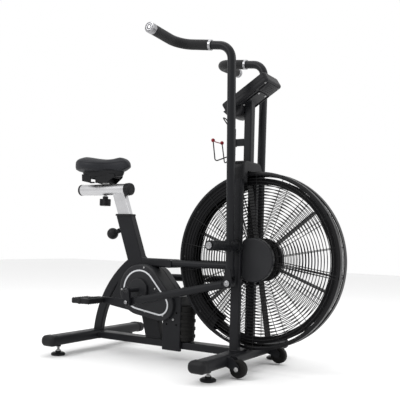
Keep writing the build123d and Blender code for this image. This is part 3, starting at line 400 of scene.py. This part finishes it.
bm = bmesh.new()
for side in (-1, 1):
    band = [(r, side * y) for r, y in ((0.3462, 0.0140), (0.3500, 0.0140), (0.3500, 0.0372), (0.3490, 0.0378),
                                       (0.3400, 0.0378), (0.3400, 0.0362), (0.3462, 0.0362))]
    hoop(bm, band, FAN, (0, 1, 0), 160)
    round_wire(bm, FAN, 0.3398, 0.0019, side * 0.0366, 160, 8)
    round_wire(bm, FAN, 0.3480, 0.0018, side * 0.0140, 160, 8)
for clip in range(CLIP_COUNT):
    angle = FIRST_CLIP + CLIP_STEP * clip
    out, across = spoke_axes(angle)
    tube(bm, [FAN + out * 0.3452 + Vector((0, y, 0)) for y in (-0.0362, -0.01, 0.01, 0.0362)], 0.0030, 10)
    if 95 < angle < 240:
        continue  # behind the sheet guard
    for side in (-1, 1):
        middle = FAN + out * 0.3478 + Vector((0, side * 0.0300, 0))
        rings = []
        for y, grow in ((-0.0078, 0.6), (-0.0070, 1), (0.0062, 1), (0.0070, 0.6)):
            rings.append([middle + Vector((0, y, 0)) + across * (a * grow) + out * (b * grow)
                          for a, b in ((-0.007, -0.003), (0.007, -0.003), (0.006, 0.0024), (-0.006, 0.0024))])
        loft(bm, rings)
piece("cage_rim_hoops", bm, WIRE, "frame", ("cage_rim",))

# sheet guard: a rolled outer wall with short lips, and flat faces just inside the wires
GUARD_FROM, GUARD_SWEEP = radians(98), radians(139)
ROLL_R, WALL_T, LIP_R = 0.0070, 0.0014, 0.3400
ROLL_CENTRE_R, ROLL_CENTRE_Y = 0.345, 0.0328
FACE_INNER_R, FACE_OUTER_R = 0.2922, 0.3490
quarter = [pi / 2 * k / 6 for k in range(7)]


def roll(radius, y_side, angles):
    """Points of one rounded edge of the guard wall, on the side of y_side."""
    if y_side > 0:
        return [(ROLL_CENTRE_R + radius * cos(t), ROLL_CENTRE_Y + radius * sin(t)) for t in angles]
    return [(ROLL_CENTRE_R + radius * sin(t), -ROLL_CENTRE_Y - radius * cos(t)) for t in angles]


bm = bmesh.new()
outer = roll(ROLL_R, -1, quarter) + roll(ROLL_R, 1, quarter)
inner = roll(ROLL_R - WALL_T, 1, quarter[::-1]) + roll(ROLL_R - WALL_T, -1, quarter[::-1])
outline = [(LIP_R, -0.0398)] + outer + [(LIP_R, 0.0398), (LIP_R, 0.0384)] + inner + [(LIP_R, -0.0384)]
hoop(bm, outline, FAN, (0, 1, 0), 96, GUARD_FROM, GUARD_SWEEP)
for side in (-1, 1):
    low, high = sorted((side * 0.0330, side * 0.0525))
    rings = [rounded_rect(LEG_X, (low + high) / 2, 0.030, high - low, 0.001, z) for z in (0.741, 0.759)]
    loft(bm, rings)
piece("guard_shell", bm, PAINT, "frame", ("wind_guard",))

# the flat faces take the darker fan black as painted shade, darker than the rolled wall of the same sheet
bm = bmesh.new()
for side in (-1, 1):
    face = [(FACE_INNER_R, side * 0.0316), (FACE_OUTER_R, side * 0.0316),
            (FACE_OUTER_R, side * 0.0332), (FACE_INNER_R, side * 0.0332)]
    hoop(bm, face, FAN, (0, 1, 0), 96, GUARD_FROM, GUARD_SWEEP)
    arc = [FAN + Vector((cos(t) * FACE_INNER_R, side * 0.0324, sin(t) * FACE_INNER_R))
           for t in (GUARD_FROM + GUARD_SWEEP * k / 96 for k in range(97))]
    tube(bm, arc, 0.0017, 8)
piece("guard_faces", bm, FAN_PAINT_AND_GUARD_SHADE, "frame")

bm = bmesh.new()
for side in (-1, 1):
    for angle in (110, 145, 180, 222):
        out, _ = spoke_axes(angle)
        dome_bolt(bm, FAN + out * 0.330 + Vector((0, side * 0.0332, 0)), (0, side, 0), 0.0034, 0.0026)
piece("guard_screws", bm, DARK_STEEL_AND_GROOVE_SHADE, "frame")

# ribs on the turning hub drum
bm = bmesh.new()
for y in (-0.024, -0.016, -0.008, 0.008, 0.016, 0.024):
    profile = [(0.0795, y - 0.0022), (0.0822, y - 0.0014), (0.0828, y), (0.0822, y + 0.0014),
               (0.0795, y + 0.0022)]
    hoop(bm, profile, FAN, (0, 1, 0), 96)
piece("hub_ribs", bm, FAN_PAINT_AND_GUARD_SHADE, "fan")

# ---- handle arms: ferrules, ringed plugs and foam sleeves ----
def grip_line(side, start, end):
    """Centre line of the sleeve: straight, round the elbow, and straight to the hand end."""
    top, elbow, tip = (side_of(p, side) for p in (ARM_TOP, ARM_ELBOW, ARM_END))
    a, b = (top - elbow).normalized(), (tip - elbow).normalized()
    opening = acos(a.dot(b))
    leg = ELBOW_R / tan(opening / 2)
    middle = elbow + (a + b).normalized() * (ELBOW_R / sin(opening / 2))
    first, last = elbow + a * leg - middle, elbow + b * leg - middle
    turn = acos(first.dot(last) / ELBOW_R ** 2)
    begin = top - a * start
    finish = elbow + b * ((tip - elbow).length - end)
    line = [begin.lerp(middle + first, k / 18) for k in range(18)]
    line += [middle + (first * sin((1 - k / 20) * turn) + last * sin(k / 20 * turn)) / sin(turn)
             for k in range(21)]
    line += [(middle + last).lerp(finish, k / 16) for k in range(1, 17)]
    return line


for side, side_name in SIDES:
    body = "arm_" + side_name
    line = grip_line(side, FERRULE_AT + FERRULE_LEN + 0.0003, PLUG_RING + 0.0003)
    line = [line[0]] + [line[0].lerp(line[1], k / 4) for k in (1, 2, 3)] + line[1:-1] + \
           [line[-2].lerp(line[-1], k / 4) for k in (1, 2, 3)] + [line[-1]]
    total = len(line)
    radii = []
    for k, p in enumerate(line):
        swell = 1 + 0.010 * noise.noise(p * 34)
        ends = min(k, total - 1 - k)
        radii.append(GRIP_R * swell * (0.86, 0.95, 0.985)[ends] if ends < 3 else GRIP_R * swell)
    bm = bmesh.new()
    tube(bm, line, radii, 40)
    grip = piece("grip_sleeve_" + side_name, bm, FOAM, body, ("grip_" + side_name,), 60)

    top, elbow, tip = (side_of(p, side) for p in (ARM_TOP, ARM_ELBOW, ARM_END))
    inward, outward = (elbow - top).normalized(), (tip - elbow).normalized()
    bm = bmesh.new()
    big, bore = GRIP_R + 0.0006, TUBE_R + 0.0002
    ring = [(bore, 0), (big - 0.0012, 0), (big, 0.0012), (big, 0.0036), (big - 0.0007, 0.0042),
            (big - 0.0007, 0.0078), (big, 0.0084), (big, 0.0108), (big - 0.0012, 0.012), (bore, 0.012)]
    lathe(bm, ring + ring[:1], top + inward * FERRULE_AT, inward, 48)
    bmesh.ops.remove_doubles(bm, verts=bm.verts, dist=1e-6)
    base = tip - outward * PLUG_RING
    plug = [(bore, 0), (big - 0.001, 0), (big, 0.001)]
    for k in range(4):
        h = 0.0035 + 0.0042 * k
        plug += [(big, h), (big - 0.0010, h + 0.0006), (big - 0.0010, h + 0.0016), (big, h + 0.0022)]
    plug += [(big, 0.0225), (big - 0.0015, 0.0250), (0.0170, 0.0258), (0.0162, 0.0248), (0.0140, 0.0248),
             (0.0132, 0.0258), (0.0108, 0.0258), (0.0100, 0.0246), (0.0068, 0.0246), (0.0060, 0.0256),
             (0, 0.0258)]
    lathe(bm, plug, base, outward, 48)
    piece("handle_silver_" + side_name, bm, CHROME, body, ("handle_trim_" + side_name,), 30)
    # dark rings filling the plug's end grooves: painted shade in the grooves
    bm = bmesh.new()
    for low, high in ((0.0069, 0.0099), (0.0141, 0.0161)):
        groove_shade = [(low, 0.0244), (high, 0.0244), (high, 0.0254), (low, 0.0254)]
        lathe(bm, groove_shade + groove_shade[:1], base, outward, 48)
    bmesh.ops.remove_doubles(bm, verts=bm.verts, dist=1e-6)
    piece("plug_groove_shade_" + side_name, bm, DARK_STEEL_AND_GROOVE_SHADE, body, angle=30)

# ---- bolts ----
for side, side_name in SIDES:
    bm = bmesh.new()
    dome_bolt(bm, side_of((PIVOT.x, 0.149, LEVER_Z), side), (0, side, 0), 0.0085, 0.0050)
    piece("link_bolt_" + side_name, bm, CHROME, "arm_" + side_name)
bm = bmesh.new()
for side, side_name in SIDES:
    dome_bolt(bm, (CRANK.x - side * PIN[0], side * 0.1630, CRANK.z - side * PIN[1]), (0, side, 0),
              0.0058, 0.0042)
piece("crank_pin_bolts", bm, CHROME, "crankset")
bm = bmesh.new()
for side, side_name in SIDES:
    dome_bolt(bm, (CRANK.x, side * 0.1570, CRANK.z), (0, side, 0), 0.0085, 0.0045)
piece("crank_axle_bolts", bm, DARK_STEEL_AND_GROOVE_SHADE, "crankset")
bm = bmesh.new()
for side in (-1, 1):
    lathe(bm, [(0, -0.001), (0.0125, -0.001), (0.0125, 0.002), (0.0110, 0.0034), (0.0075, 0.0036),
               (0.0065, 0.0026), (0.0040, 0.0026), (0.0032, 0.0040), (0, 0.0042)],
          side_of((PIVOT.x, 0.2900, PIVOT.z), side), (0, side, 0), 32)
piece("peg_end_bolts", bm, CHROME, "frame")
bm = bmesh.new()
for side in (-1, 1):
    for x, z in ((-0.334, 0.282), (-0.157, 0.295), (-0.112, 0.186), (-0.206, 0.196), (-0.218, 0.383)):
        dome_bolt(bm, (x, side * 0.0618, z), (0, side, 0), 0.0032, 0.0024)
    for x, z in ((-0.085, 0.202), (-0.069, 0.171), (-0.094, 0.176)):
        dome_bolt(bm, (x, side * 0.0450, z), (0, side, 0), 0.0036, 0.0028)
    hex_bolt(bm, (WHEEL[0], side * 0.2020, WHEEL[1]), (0, side, 0), 0.0062, 0.0040)
for z in (0.877, 0.953):
    dome_bolt(bm, (0.1742, 0, z), (-1, 0, 0), 0.0042, 0.003)
piece("cover_screws", bm, STEEL, "frame")

# ---- base: foot threads, weld beads, pads ----
THREAD_R, THREAD_DEPTH, THREAD_PITCH, THREAD_LOW = 0.0051, 0.0008, 0.0013, 0.019
FEET = (("front_right", FRONT_FOOT, -1, 0.0315), ("front_left", FRONT_FOOT, 1, 0.0315),
        ("rear_right", REAR_FOOT, -1, 0.0365), ("rear_left", REAR_FOOT, 1, 0.0365))
for name, (x, y_half), side, high in FEET:
    y, low = side * y_half, THREAD_LOW
    bm = bmesh.new()
    profile = [(0, low)]
    h = low
    while h < high - THREAD_PITCH:
        profile += [(THREAD_R, h), (THREAD_R + THREAD_DEPTH, h + 0.0006), (THREAD_R, h + 0.0012)]
        h += THREAD_PITCH
    profile += [(THREAD_R, high), (0, high)]
    lathe(bm, profile, (x, y, 0), UP, 20)
    lathe(bm, [(0, low - 0.001), (0.0098, low - 0.001), (0.0098, low + 0.0035), (0.0086, low + 0.0048),
               (0, low + 0.0048)], (x, y, 0), UP, 6)
    piece("foot_thread_" + name, bm, STEEL, "foot_" + name)
    bm = bmesh.new()
    radius = 0.0301
    for z in (0.0036, 0.0056, 0.0076):
        profile = [(radius - 0.0006, z - 0.0008), (radius, z), (radius - 0.0006, z + 0.0008),
                   (radius - 0.0012, z)]
        rings = [[Vector((x + r * cos(t), y + r * sin(t), h)) for r, h in profile]
                 for t in (2 * pi * k / 48 for k in range(48))]
        loft(bm, rings, closed=True)
    piece("foot_ridges_" + name, bm, RUBBER, "foot_" + name)

bm = bmesh.new()
for side in (-1, 1):
    weld_loop(bm, rounded_rect(LEG_X, side * LEG_Y, 0.0405, 0.0255, 0.006, 0.0820), 0.0026, seed=side)
    weld_loop(bm, circle((PIVOT.x, side * 0.0830, PIVOT.z), (0, 1, 0), 0.0202, 40), 0.0020, seed=side + 3)
    weld_loop(bm, circle((0.2190, side * 0.070, 0.409), (1, 0, 0), 0.0145, 32), 0.0020, seed=side + 5)
beam = rounded_rect(0, 0, 0.0605, 0.0305, 0.005, 0)
for x in (-0.4822, 0.2122):
    weld_loop(bm, [Vector((x, p.x, p.y + BEAM_Z)) for p in beam], 0.0024)
weld_loop(bm, rounded_rect(-0.187, 0, 0.0805, 0.0365, 0.004, 0.0803), 0.0022)
weld_loop(bm, rounded_rect(0.247, 0, 0.0345, 0.0365, 0.006, 0.8225), 0.0020)
piece("weld_beads", bm, WELD, "frame")

# ---- console back: battery door, ribs, speaker slots and screws ----
def console_point(along, across, height):
    """A point on the console: along its length, across it and out from its middle plane."""
    x_dir = Vector((cos(CONSOLE_TILT), 0, sin(CONSOLE_TILT)))
    out = Vector((-sin(CONSOLE_TILT), 0, cos(CONSOLE_TILT)))
    return CONSOLE + x_dir * along + Vector((0, across, 0)) + out * height


def console_block(bm, x0, x1, y0, y1, h0, h1, inset=0.0015):
    """Raised block on the console with drawn-in edges."""
    rings = []
    for h, grow in ((h0, 0), (h1 * 0.8 + h0 * 0.2, 0), (h1, inset)):
        left, right, near, far = x0 + grow, x1 - grow, y0 + grow, y1 - grow
        corners = ((left, near), (right, near), (right, far), (left, far))
        rings.append([console_point(x, y, h) for x, y in corners])
    loft(bm, rings)


back = -CONSOLE_SIZE[2] / 2
bm = bmesh.new()
console_block(bm, 0.052, 0.100, -0.050, 0.050, back + 0.002, back - 0.0040, 0.003)
console_block(bm, -0.100, -0.056, -0.050, 0.050, back + 0.002, back - 0.0040, 0.003)
for k in range(5):
    x = 0.008 * k
    console_block(bm, 0.058 + x, 0.061 + x, -0.034, 0.034, back - 0.003, back - 0.0056, 0.0008)
for side in (-1, 1):
    rib, seam = side * 0.056, side * 0.0700
    console_block(bm, -0.044, 0.044, rib - 0.003, rib + 0.003, back + 0.001, back - 0.0035, 0.001)
    console_block(bm, -0.103, 0.103, seam - 0.0010, seam + 0.0010, -0.0012, 0.0012, 0.0004)
piece("console_back", bm, CONSOLE_SKIN, "frame", angle=30, bevel=0.0006)
bm = bmesh.new()
pod = [(0.232, 1.0700), (0.232, 1.0600), (0.2295, 1.0400), (0.2225, 1.0255), (0.2100, 1.0170),
       (0.1950, 1.0140), (0.1780, 1.0170), (0.1620, 1.0255), (0.1490, 1.0370), (0.1435, 1.0410),
       (0.1600, 1.0500), (0.2000, 1.0700)]
pod_x, pod_z = (sum(values) / len(pod) for values in zip(*pod))
rings = []
sections = ((-0.044, 0.90), (-0.0425, 0.96), (-0.040, 1.0), (0.040, 1.0), (0.0425, 0.96), (0.044, 0.90))
for y, shrink in sections:
    rings.append([Vector((pod_x + (x - pod_x) * shrink, y, pod_z + (z - pod_z) * shrink)) for x, z in pod])
loft(bm, rings)
piece("console_pod", bm, CONSOLE_SKIN, "frame", angle=30)
bm = bmesh.new()
axis = console_point(0, 0, -1) - console_point(0, 0, 0)
for x in (-0.092, 0.092):
    for y in (-0.060, 0.060):
        dome_bolt(bm, console_point(x, y, back + 0.0002), axis, 0.0030, 0.0022)
for x in (-0.039, 0.039):
    for y in (-0.029, 0.029):
        dome_bolt(bm, console_point(x, y, back - 0.0040), axis, 0.0034, 0.0026)
piece("console_screws", bm, STEEL, "frame")

# ---- seat hardware ----
lean = Vector((-sin(SEAT_LEAN), 0, cos(SEAT_LEAN)))
across = Vector((cos(SEAT_LEAN), 0, sin(SEAT_LEAN)))
PIN_AT, BALL_AT, BALL_R, BALL_SEAM = 0.160, 0.097, 0.0263, 0.0008
pin_foot = SEAT_FOOT + lean * PIN_AT
knob = pin_foot - across * BALL_AT
bm = bmesh.new()
ball = [(0, -BALL_R)]
ball += [(BALL_R * cos(t), BALL_R * sin(t)) for t in (radians(-80 + 10 * k) for k in range(8))]
ball += [(BALL_R + 0.0002, -0.0014), (BALL_R - 0.0005, -BALL_SEAM), (BALL_R - 0.0005, BALL_SEAM),
         (BALL_R + 0.0002, 0.0014)]
ball += [(BALL_R * cos(t), BALL_R * sin(t)) for t in (radians(10 + 10 * k) for k in range(7))] + [(0, BALL_R)]
lathe(bm, ball, knob, -across, 40)
for k in range(5):
    h = -0.0455 + 0.0042 * k
    lathe(bm, [(0.0095, h), (0.0108, h + 0.0008), (0.0108, h + 0.0026), (0.0095, h + 0.0034)],
          knob, -across, 28)
piece("pull_knob_ball", bm, PLASTIC, "pop_pin")
bm = bmesh.new()
lathe(bm, [(0.0061, 0), (0.0088, 0), (0.0088, 0.0055), (0.0080, 0.0065), (0.0061, 0.0065)],
      pin_foot - across * 0.0405, -across, 6)
piece("pull_pin_nut", bm, STEEL, "frame")
bm = bmesh.new()
RIDGE_COUNT, RIDGE_AT_R = 12, 0.0279
for k in range(RIDGE_COUNT):
    t = 2 * pi * k / RIDGE_COUNT
    centre = Vector((SLIDE_FRONT_X - 0.015, 0, SLIDE_Z)) + Vector((0, cos(t), sin(t))) * RIDGE_AT_R
    tube(bm, [centre + Vector((x, 0, 0)) for x in (-0.011, -0.009, 0.005, 0.007)],
         [0.0006, 0.0014, 0.0014, 0.0006], 6)
x = SLIDE_FRONT_X + 0.0002
for r in (0.0180, 0.0115):
    profile = [(r - 0.0011, -0.0006), (r, 0.0005), (r + 0.0011, -0.0006)]
    rings = [[Vector((x + h, rr * cos(t), SLIDE_Z + rr * sin(t))) for rr, h in profile]
             for t in (2 * pi * k / 40 for k in range(40))]
    loft(bm, rings, closed=True)
piece("slide_cap_ridges", bm, PLASTIC, "seat_post")
bm = bmesh.new()
lathe(bm, [(0.0052, 0), (0.0092, 0), (0.0092, 0.0050), (0.0082, 0.0060), (0.0052, 0.0060)],
      (NECK_X, 0, 0.6993), UP, 6)
lathe(bm, [(0, 0), (0.0085, 0), (0.0105, 0.0012), (0.0105, 0.0020), (0, 0.0020)], (NECK_X, 0, 0.6545), UP, 28)
piece("star_knob_nut", bm, STEEL, "star_knob")

# ---- pedals: studs and end caps ----
for side, side_name in SIDES:
    x, z = CRANK.x + side * PEDAL_REACH, CRANK.z - side * PIN[1]
    bm = bmesh.new()
    for face in (-1, 1):
        for dx in (-0.043, -0.010, 0.010, 0.043):
            for k in range(7):
                y = side * (0.170 + 0.0143 * k)
                lathe(bm, [(0.0022, -0.001), (0.0020, 0.0006), (0.0012, 0.0018), (0, 0.0019)],
                      (x + dx, y, z + face * 0.011), (0, 0, face), 10)
    lathe(bm, [(0, -0.001), (0.0085, -0.001), (0.0085, 0.0016), (0.0070, 0.0026), (0, 0.0028)],
          (x, side * 0.266, z), (0, side, 0), 24)
    piece("pedal_studs_" + side_name, bm, PLASTIC, "pedal_" + side_name)

# ---- bottle cage: clips on the mast and the red link between the tips ----
bm = bmesh.new()
for z in (0.868, 0.952):
    for side in (-1, 1):
        tube(bm, [(0.1725, side * 0.0150, z), (0.1760, side * 0.0150, z)], [0.0035, 0.0035], 10)
piece("bottle_clips", bm, WIRE, "frame")

bm = bmesh.new()
tube(bm, [(0.098 - 0.004 * sin(pi * k / 12), -0.038 + 0.076 * k / 12, 0.9225) for k in range(13)],
     [0.0030, 0.0024] + [0.0021] * 9 + [0.0024, 0.0030], 10)
piece("bottle_link", bm, RED, "frame")

# ---- saddle ----
# each station: place along X, half width, height of the crown, height of the underside
STATIONS = (
    (-0.6440, 0.034, 0.864, 0.826), (-0.6420, 0.054, 0.873, 0.820), (-0.6360, 0.069, 0.879, 0.816),
    (-0.6250, 0.082, 0.882, 0.814), (-0.6080, 0.093, 0.884, 0.813), (-0.5850, 0.100, 0.884, 0.813),
    (-0.5600, 0.101, 0.881, 0.813), (-0.5300, 0.095, 0.876, 0.813), (-0.5000, 0.080, 0.872, 0.813),
    (-0.4700, 0.060, 0.871, 0.813), (-0.4400, 0.044, 0.875, 0.813), (-0.4150, 0.036, 0.880, 0.814),
    (-0.3950, 0.0310, 0.880, 0.818), (-0.3790, 0.0250, 0.873, 0.823), (-0.3670, 0.0180, 0.861, 0.830),
    (-0.3600, 0.0090, 0.848, 0.836), (-0.3585, 0.0025, 0.843, 0.839),
)


def saddle_ring(x, half, top, low, count=36, shrink=0.0):
    """Cross section: full sides, a crowned top with a relief channel, and a flatter underside."""
    middle, tall = (top + low) / 2, (top - low) / 2 - shrink
    half = max(half - shrink, 0.001)
    points = []
    for k in range(count):
        t = 2 * pi * k / count
        c, s = cos(t), sin(t)
        y = half * (1 if c > 0 else -1) * abs(c) ** 0.60
        z = middle + tall * (1 if s > 0 else -1) * abs(s) ** (0.68 if s > 0 else 0.50)
        if s > 0:
            z -= 0.0075 * max(0.0, min(1.0, (half - 0.02) / 0.03)) * exp(-(y / 0.014) ** 2) * s
        points.append(Vector((x, y, z)))
    return points


def in_between(stations, steps):
    """Smooth stations between the given ones."""
    out = []
    for i in range(len(stations) - 1):
        before = stations[max(i - 1, 0)]
        a, b = stations[i], stations[i + 1]
        after = stations[min(i + 2, len(stations) - 1)]
        for k in range(steps):
            t = k / steps
            out.append(tuple(0.5 * (2 * q + (r - p) * t + (2 * p - 5 * q + 4 * r - s) * t * t
                                    + (3 * q - p - 3 * r + s) * t ** 3)
                             for p, q, r, s in zip(before, a, b, after)))
    out.append(stations[-1])
    return out


bm = bmesh.new()
start_shrink = 0.0030
rings = [saddle_ring(*station, shrink=start_shrink) for station in in_between(STATIONS, 3)]
loft(bm, rings)
saddle = piece("saddle_pad", bm, VINYL, "saddle", ("saddle_cushion",), 180)


def only(obj):
    """Makes obj the one selected and active object."""
    for other in bpy.context.selected_objects:
        other.select_set(False)
    obj.select_set(True)
    bpy.context.view_layer.objects.active = obj


def apply_all(obj):
    """Applies every modifier on obj."""
    only(obj)
    for modifier in list(obj.modifiers):
        bpy.ops.object.modifier_apply(modifier=modifier.name)


def inflate(obj, voxel, pressure, frames, cap):
    """Fills a closed form by a short cloth simulation and keeps each point within cap of its start."""
    remesh = obj.modifiers.new("remesh", "REMESH")
    remesh.mode = "VOXEL"
    remesh.voxel_size = voxel
    remesh.use_smooth_shade = True
    apply_all(obj)
    rest = [v.co.copy() for v in obj.data.vertices]
    cloth = obj.modifiers.new("cloth", "CLOTH")
    cloth.settings.quality = 6
    cloth.settings.use_pressure = True
    cloth.settings.uniform_pressure_force = pressure
    cloth.settings.tension_stiffness = 25
    cloth.settings.compression_stiffness = 25
    cloth.settings.shear_stiffness = 15
    cloth.settings.bending_stiffness = 4
    cloth.settings.effector_weights.gravity = 0
    cloth.collision_settings.use_collision = False
    cloth.point_cache.frame_start = 1
    cloth.point_cache.frame_end = frames
    scene = bpy.context.scene
    for number in range(1, frames + 1):
        scene.frame_set(number)
    evaluated = obj.evaluated_get(bpy.context.evaluated_depsgraph_get())
    moved = [v.co.copy() for v in evaluated.data.vertices]
    obj.modifiers.remove(cloth)
    scene.frame_set(1)
    for vertex, old, new in zip(obj.data.vertices, rest, moved):
        step = new - old
        vertex.co = old + step * min(1.0, cap / max(step.length, 1e-9))
    obj.data.update()


inflate(saddle, voxel=0.005, pressure=4.0, frames=20, cap=0.0045)
smooth = saddle.modifiers.new("round", "SUBSURF")
smooth.levels = smooth.render_levels = 1
apply_all(saddle)
for polygon in saddle.data.polygons:
    polygon.use_smooth = True

# sewn channels along both flanks, their stitches, and the piping round the lower edge
SEAM_SHARE, GROOVE_WIDTH, GROOVE_DEPTH = 0.60, 0.004, 0.0011
STITCH_OFFSET, STITCH_LENGTH = 0.0034, 0.0042
seam_line = []
for side in (-1, 1):
    row = []
    for x, half, top, low in in_between(STATIONS[3:15], 3):
        row.append(Vector((x, side * half * 1.1, low + (top - low) * SEAM_SHARE)))
    seam_line.append(row)
tree = BVHTree.FromObject(saddle, bpy.context.evaluated_depsgraph_get())
seams = [[tree.find_nearest(p)[0] for p in row] for row in seam_line]
groove = [p for row in seams for p in row]


def seam_distance(point):
    """How far a point is from the nearer seam, or None when it is well away from both."""
    if not any((p - point).length < 0.012 for p in groove):
        return None
    gaps = []
    for row in seams:
        for a, b in zip(row, row[1:]):
            if (a - point).length < 0.03:
                share = max(0, min(1, (point - a).dot(b - a) / (b - a).length_squared))
                gaps.append((point - a - (b - a) * share).length)
    return min(gaps)


for vertex in saddle.data.vertices:
    distance = seam_distance(vertex.co)
    if distance is not None and distance < GROOVE_WIDTH:
        vertex.co -= vertex.normal * GROOVE_DEPTH * (1 - (distance / GROOVE_WIDTH) ** 2)
saddle.data.update()

tree = BVHTree.FromObject(saddle, bpy.context.evaluated_depsgraph_get())
bm = bmesh.new()
for row in seams:
    for offset in (-STITCH_OFFSET, STITCH_OFFSET):
        line = [tree.find_nearest(p + UP * offset)[0] for p in row]
        for a, b in zip(line, line[1:]):
            count = max(1, round((b - a).length / STITCH_LENGTH))
            for k in range(count):
                p, q = a.lerp(b, (k + 0.14) / count), a.lerp(b, (k + 0.80) / count)
                p, n, _, _ = tree.find_nearest(p)
                q, _, _, _ = tree.find_nearest(q)
                arch = [p + n * -0.0002, p.lerp(q, 0.3) + n * 0.0004, p.lerp(q, 0.7) + n * 0.0004,
                        q + n * -0.0002]
                tube(bm, arch, [0.0003, 0.00045, 0.00045, 0.0003], 6)
piece("saddle_stitches", bm, THREAD, "saddle")

bm = bmesh.new()
edge = []
for x, half, top, low in in_between(STATIONS[1:16], 3):
    edge.append(Vector((x, half * 0.93, low + (top - low) * 0.10)))
edge += [Vector((p.x, -p.y, p.z)) for p in reversed(edge)]
line = [tree.find_nearest(p)[0] for p in edge]
tube(bm, line, 0.0016, 8, closed=True)
piece("saddle_piping", bm, VINYL, "saddle")

# dark moulded pan under the pad, with a window through it
PAN_X, PAN_REACH, SKIRT_TOP, SKIRT_LOW = -0.512, 0.122, 0.8015, 0.7600
TAB_HALF, TAB_TOP, TAB_LOW = 0.0555, 0.7655, 0.7585


def pan_half(x, rear=0.062):
    """Half width of the pan's skirt, which narrows towards the nose."""
    return rear - 0.030 * (x + 0.600) / 0.19


bm = bmesh.new()
pan = []
for share, z in ((0.93, 0.8185), (0.94, 0.8100), (0.90, 0.7985), (0.84, 0.7925), (0.74, 0.7905)):
    ring = []
    for k in range(48):
        t = 2 * pi * k / 48
        width = 0.090 - 0.052 * (0.5 + 0.5 * cos(t)) ** 0.8
        ring.append(Vector((PAN_X + PAN_REACH * cos(t) * share, width * sin(t) * share, z)))
    pan.append(ring)
loft(bm, pan)
SKIRT = ((-0.598, -0.550, 0.010, 0.0), (-0.550, -0.526, 0.022, 0.022), (-0.526, -0.470, 0.0, 0.0),
         (-0.470, -0.428, 0.0, 0.028))
for side in (-1, 1):
    for x0, x1, lift0, lift1 in SKIRT:
        rings = []
        for x, lift in ((x0, lift0), (x1, lift1)):
            w, low = pan_half(x), SKIRT_LOW + lift
            rings.append([Vector((x, side * w, SKIRT_TOP)), Vector((x, side * (w - 0.004), SKIRT_TOP)),
                          Vector((x, side * (w - 0.007), low)), Vector((x, side * (w - 0.003), low))])
        loft(bm, rings)
    corners = ((TAB_HALF, TAB_TOP), (TAB_HALF - 0.005, TAB_TOP), (TAB_HALF - 0.005, TAB_LOW),
               (TAB_HALF, TAB_LOW))
    loft(bm, [[Vector((x, side * w, z)) for w, z in corners] for x in (-0.551, -0.525)])
for x in (-0.594, -0.480, -0.440):
    w = pan_half(x, 0.058)
    low = 0.7640 if x == -0.480 else 0.7850
    corners = ((x - 0.003, SKIRT_TOP), (x + 0.003, SKIRT_TOP), (x + 0.003, low), (x - 0.003, low))
    rings = [[Vector((a, y, z)) for a, z in corners] for y in (-w, w)]
    loft(bm, rings)
piece("saddle_pan", bm, PLASTIC, "saddle", ("saddle_shell",), 30, bevel=0.001)

# ---- floor, light and camera ----
FLOOR_HALF = 9


def flat_floor():
    """Plain pale floor, wide enough to fill every view."""
    bm = bmesh.new()
    corners = ((-1, -1), (1, -1), (1, 1), (-1, 1))
    bm.faces.new([bm.verts.new((x * FLOOR_HALF, y * FLOOR_HALF, 0)) for x, y in corners])
    mesh = bpy.data.meshes.new("floor")
    bm.to_mesh(mesh)
    bm.free()
    floor = bpy.data.objects.new("floor", mesh)
    bpy.context.scene.collection.objects.link(floor)
    mesh.materials.append(surface("floor_paint", (0.86, 0.86, 0.86), (0.88, 0.88, 0.88), (0.7, 0.8), grain=60,
                                  grain_depth=0.0001))


flat_floor()
world = bpy.data.worlds.new("studio")
bpy.context.scene.world = world
world.use_nodes = True
world.node_tree.nodes["Background"].inputs["Color"].default_value = (1.0, 1.0, 1.0, 1)
world.node_tree.nodes["Background"].inputs["Strength"].default_value = 1.0
bpy.context.scene.view_settings.view_transform = "Standard"


def softbox(name, place, aim, size, power):
    """Square area light pointed at a spot."""
    data = bpy.data.lights.new(name, "AREA")
    data.shape = "RECTANGLE"
    data.size, data.size_y = size
    data.energy = power
    light = bpy.data.objects.new(name, data)
    bpy.context.scene.collection.objects.link(light)
    light.location = place
    light.rotation_euler = (Vector(aim) - Vector(place)).to_track_quat("-Z", "Y").to_euler()


softbox("key", (-1.4, -3.0, 3.0), (0, 0, 0.6), (1.4, 1.4), 60)
softbox("rim", (2.8, 1.4, 2.2), (0.1, 0, 0.8), (1.2, 1.8), 30)
softbox("top", (0, 0, 3.4), (0, 0, 0), (2.4, 2.4), 30)

AZ, PITCH, ROLL = radians(31.465), radians(-3.764), radians(1.692)
CAMERA_AT, SENSOR, LENS = (1.40453, -2.26314, 0.50459), 36, 56.24
forward = Vector((-sin(AZ) * cos(PITCH), cos(AZ) * cos(PITCH), -sin(PITCH)))
right = Vector((cos(AZ), sin(AZ), 0))
above = right.cross(forward)
right_rolled = right * cos(ROLL) + above * sin(ROLL)
above_rolled = above * cos(ROLL) - right * sin(ROLL)
camera_data = bpy.data.cameras.new("camera")
camera_data.sensor_width = SENSOR
camera_data.lens = LENS
camera = bpy.data.objects.new("camera", camera_data)
bpy.context.scene.collection.objects.link(camera)
turn = Matrix((right_rolled, above_rolled, -forward)).transposed()
camera.matrix_world = Matrix.Translation(CAMERA_AT) @ turn.to_4x4()
bpy.context.scene.camera = camera
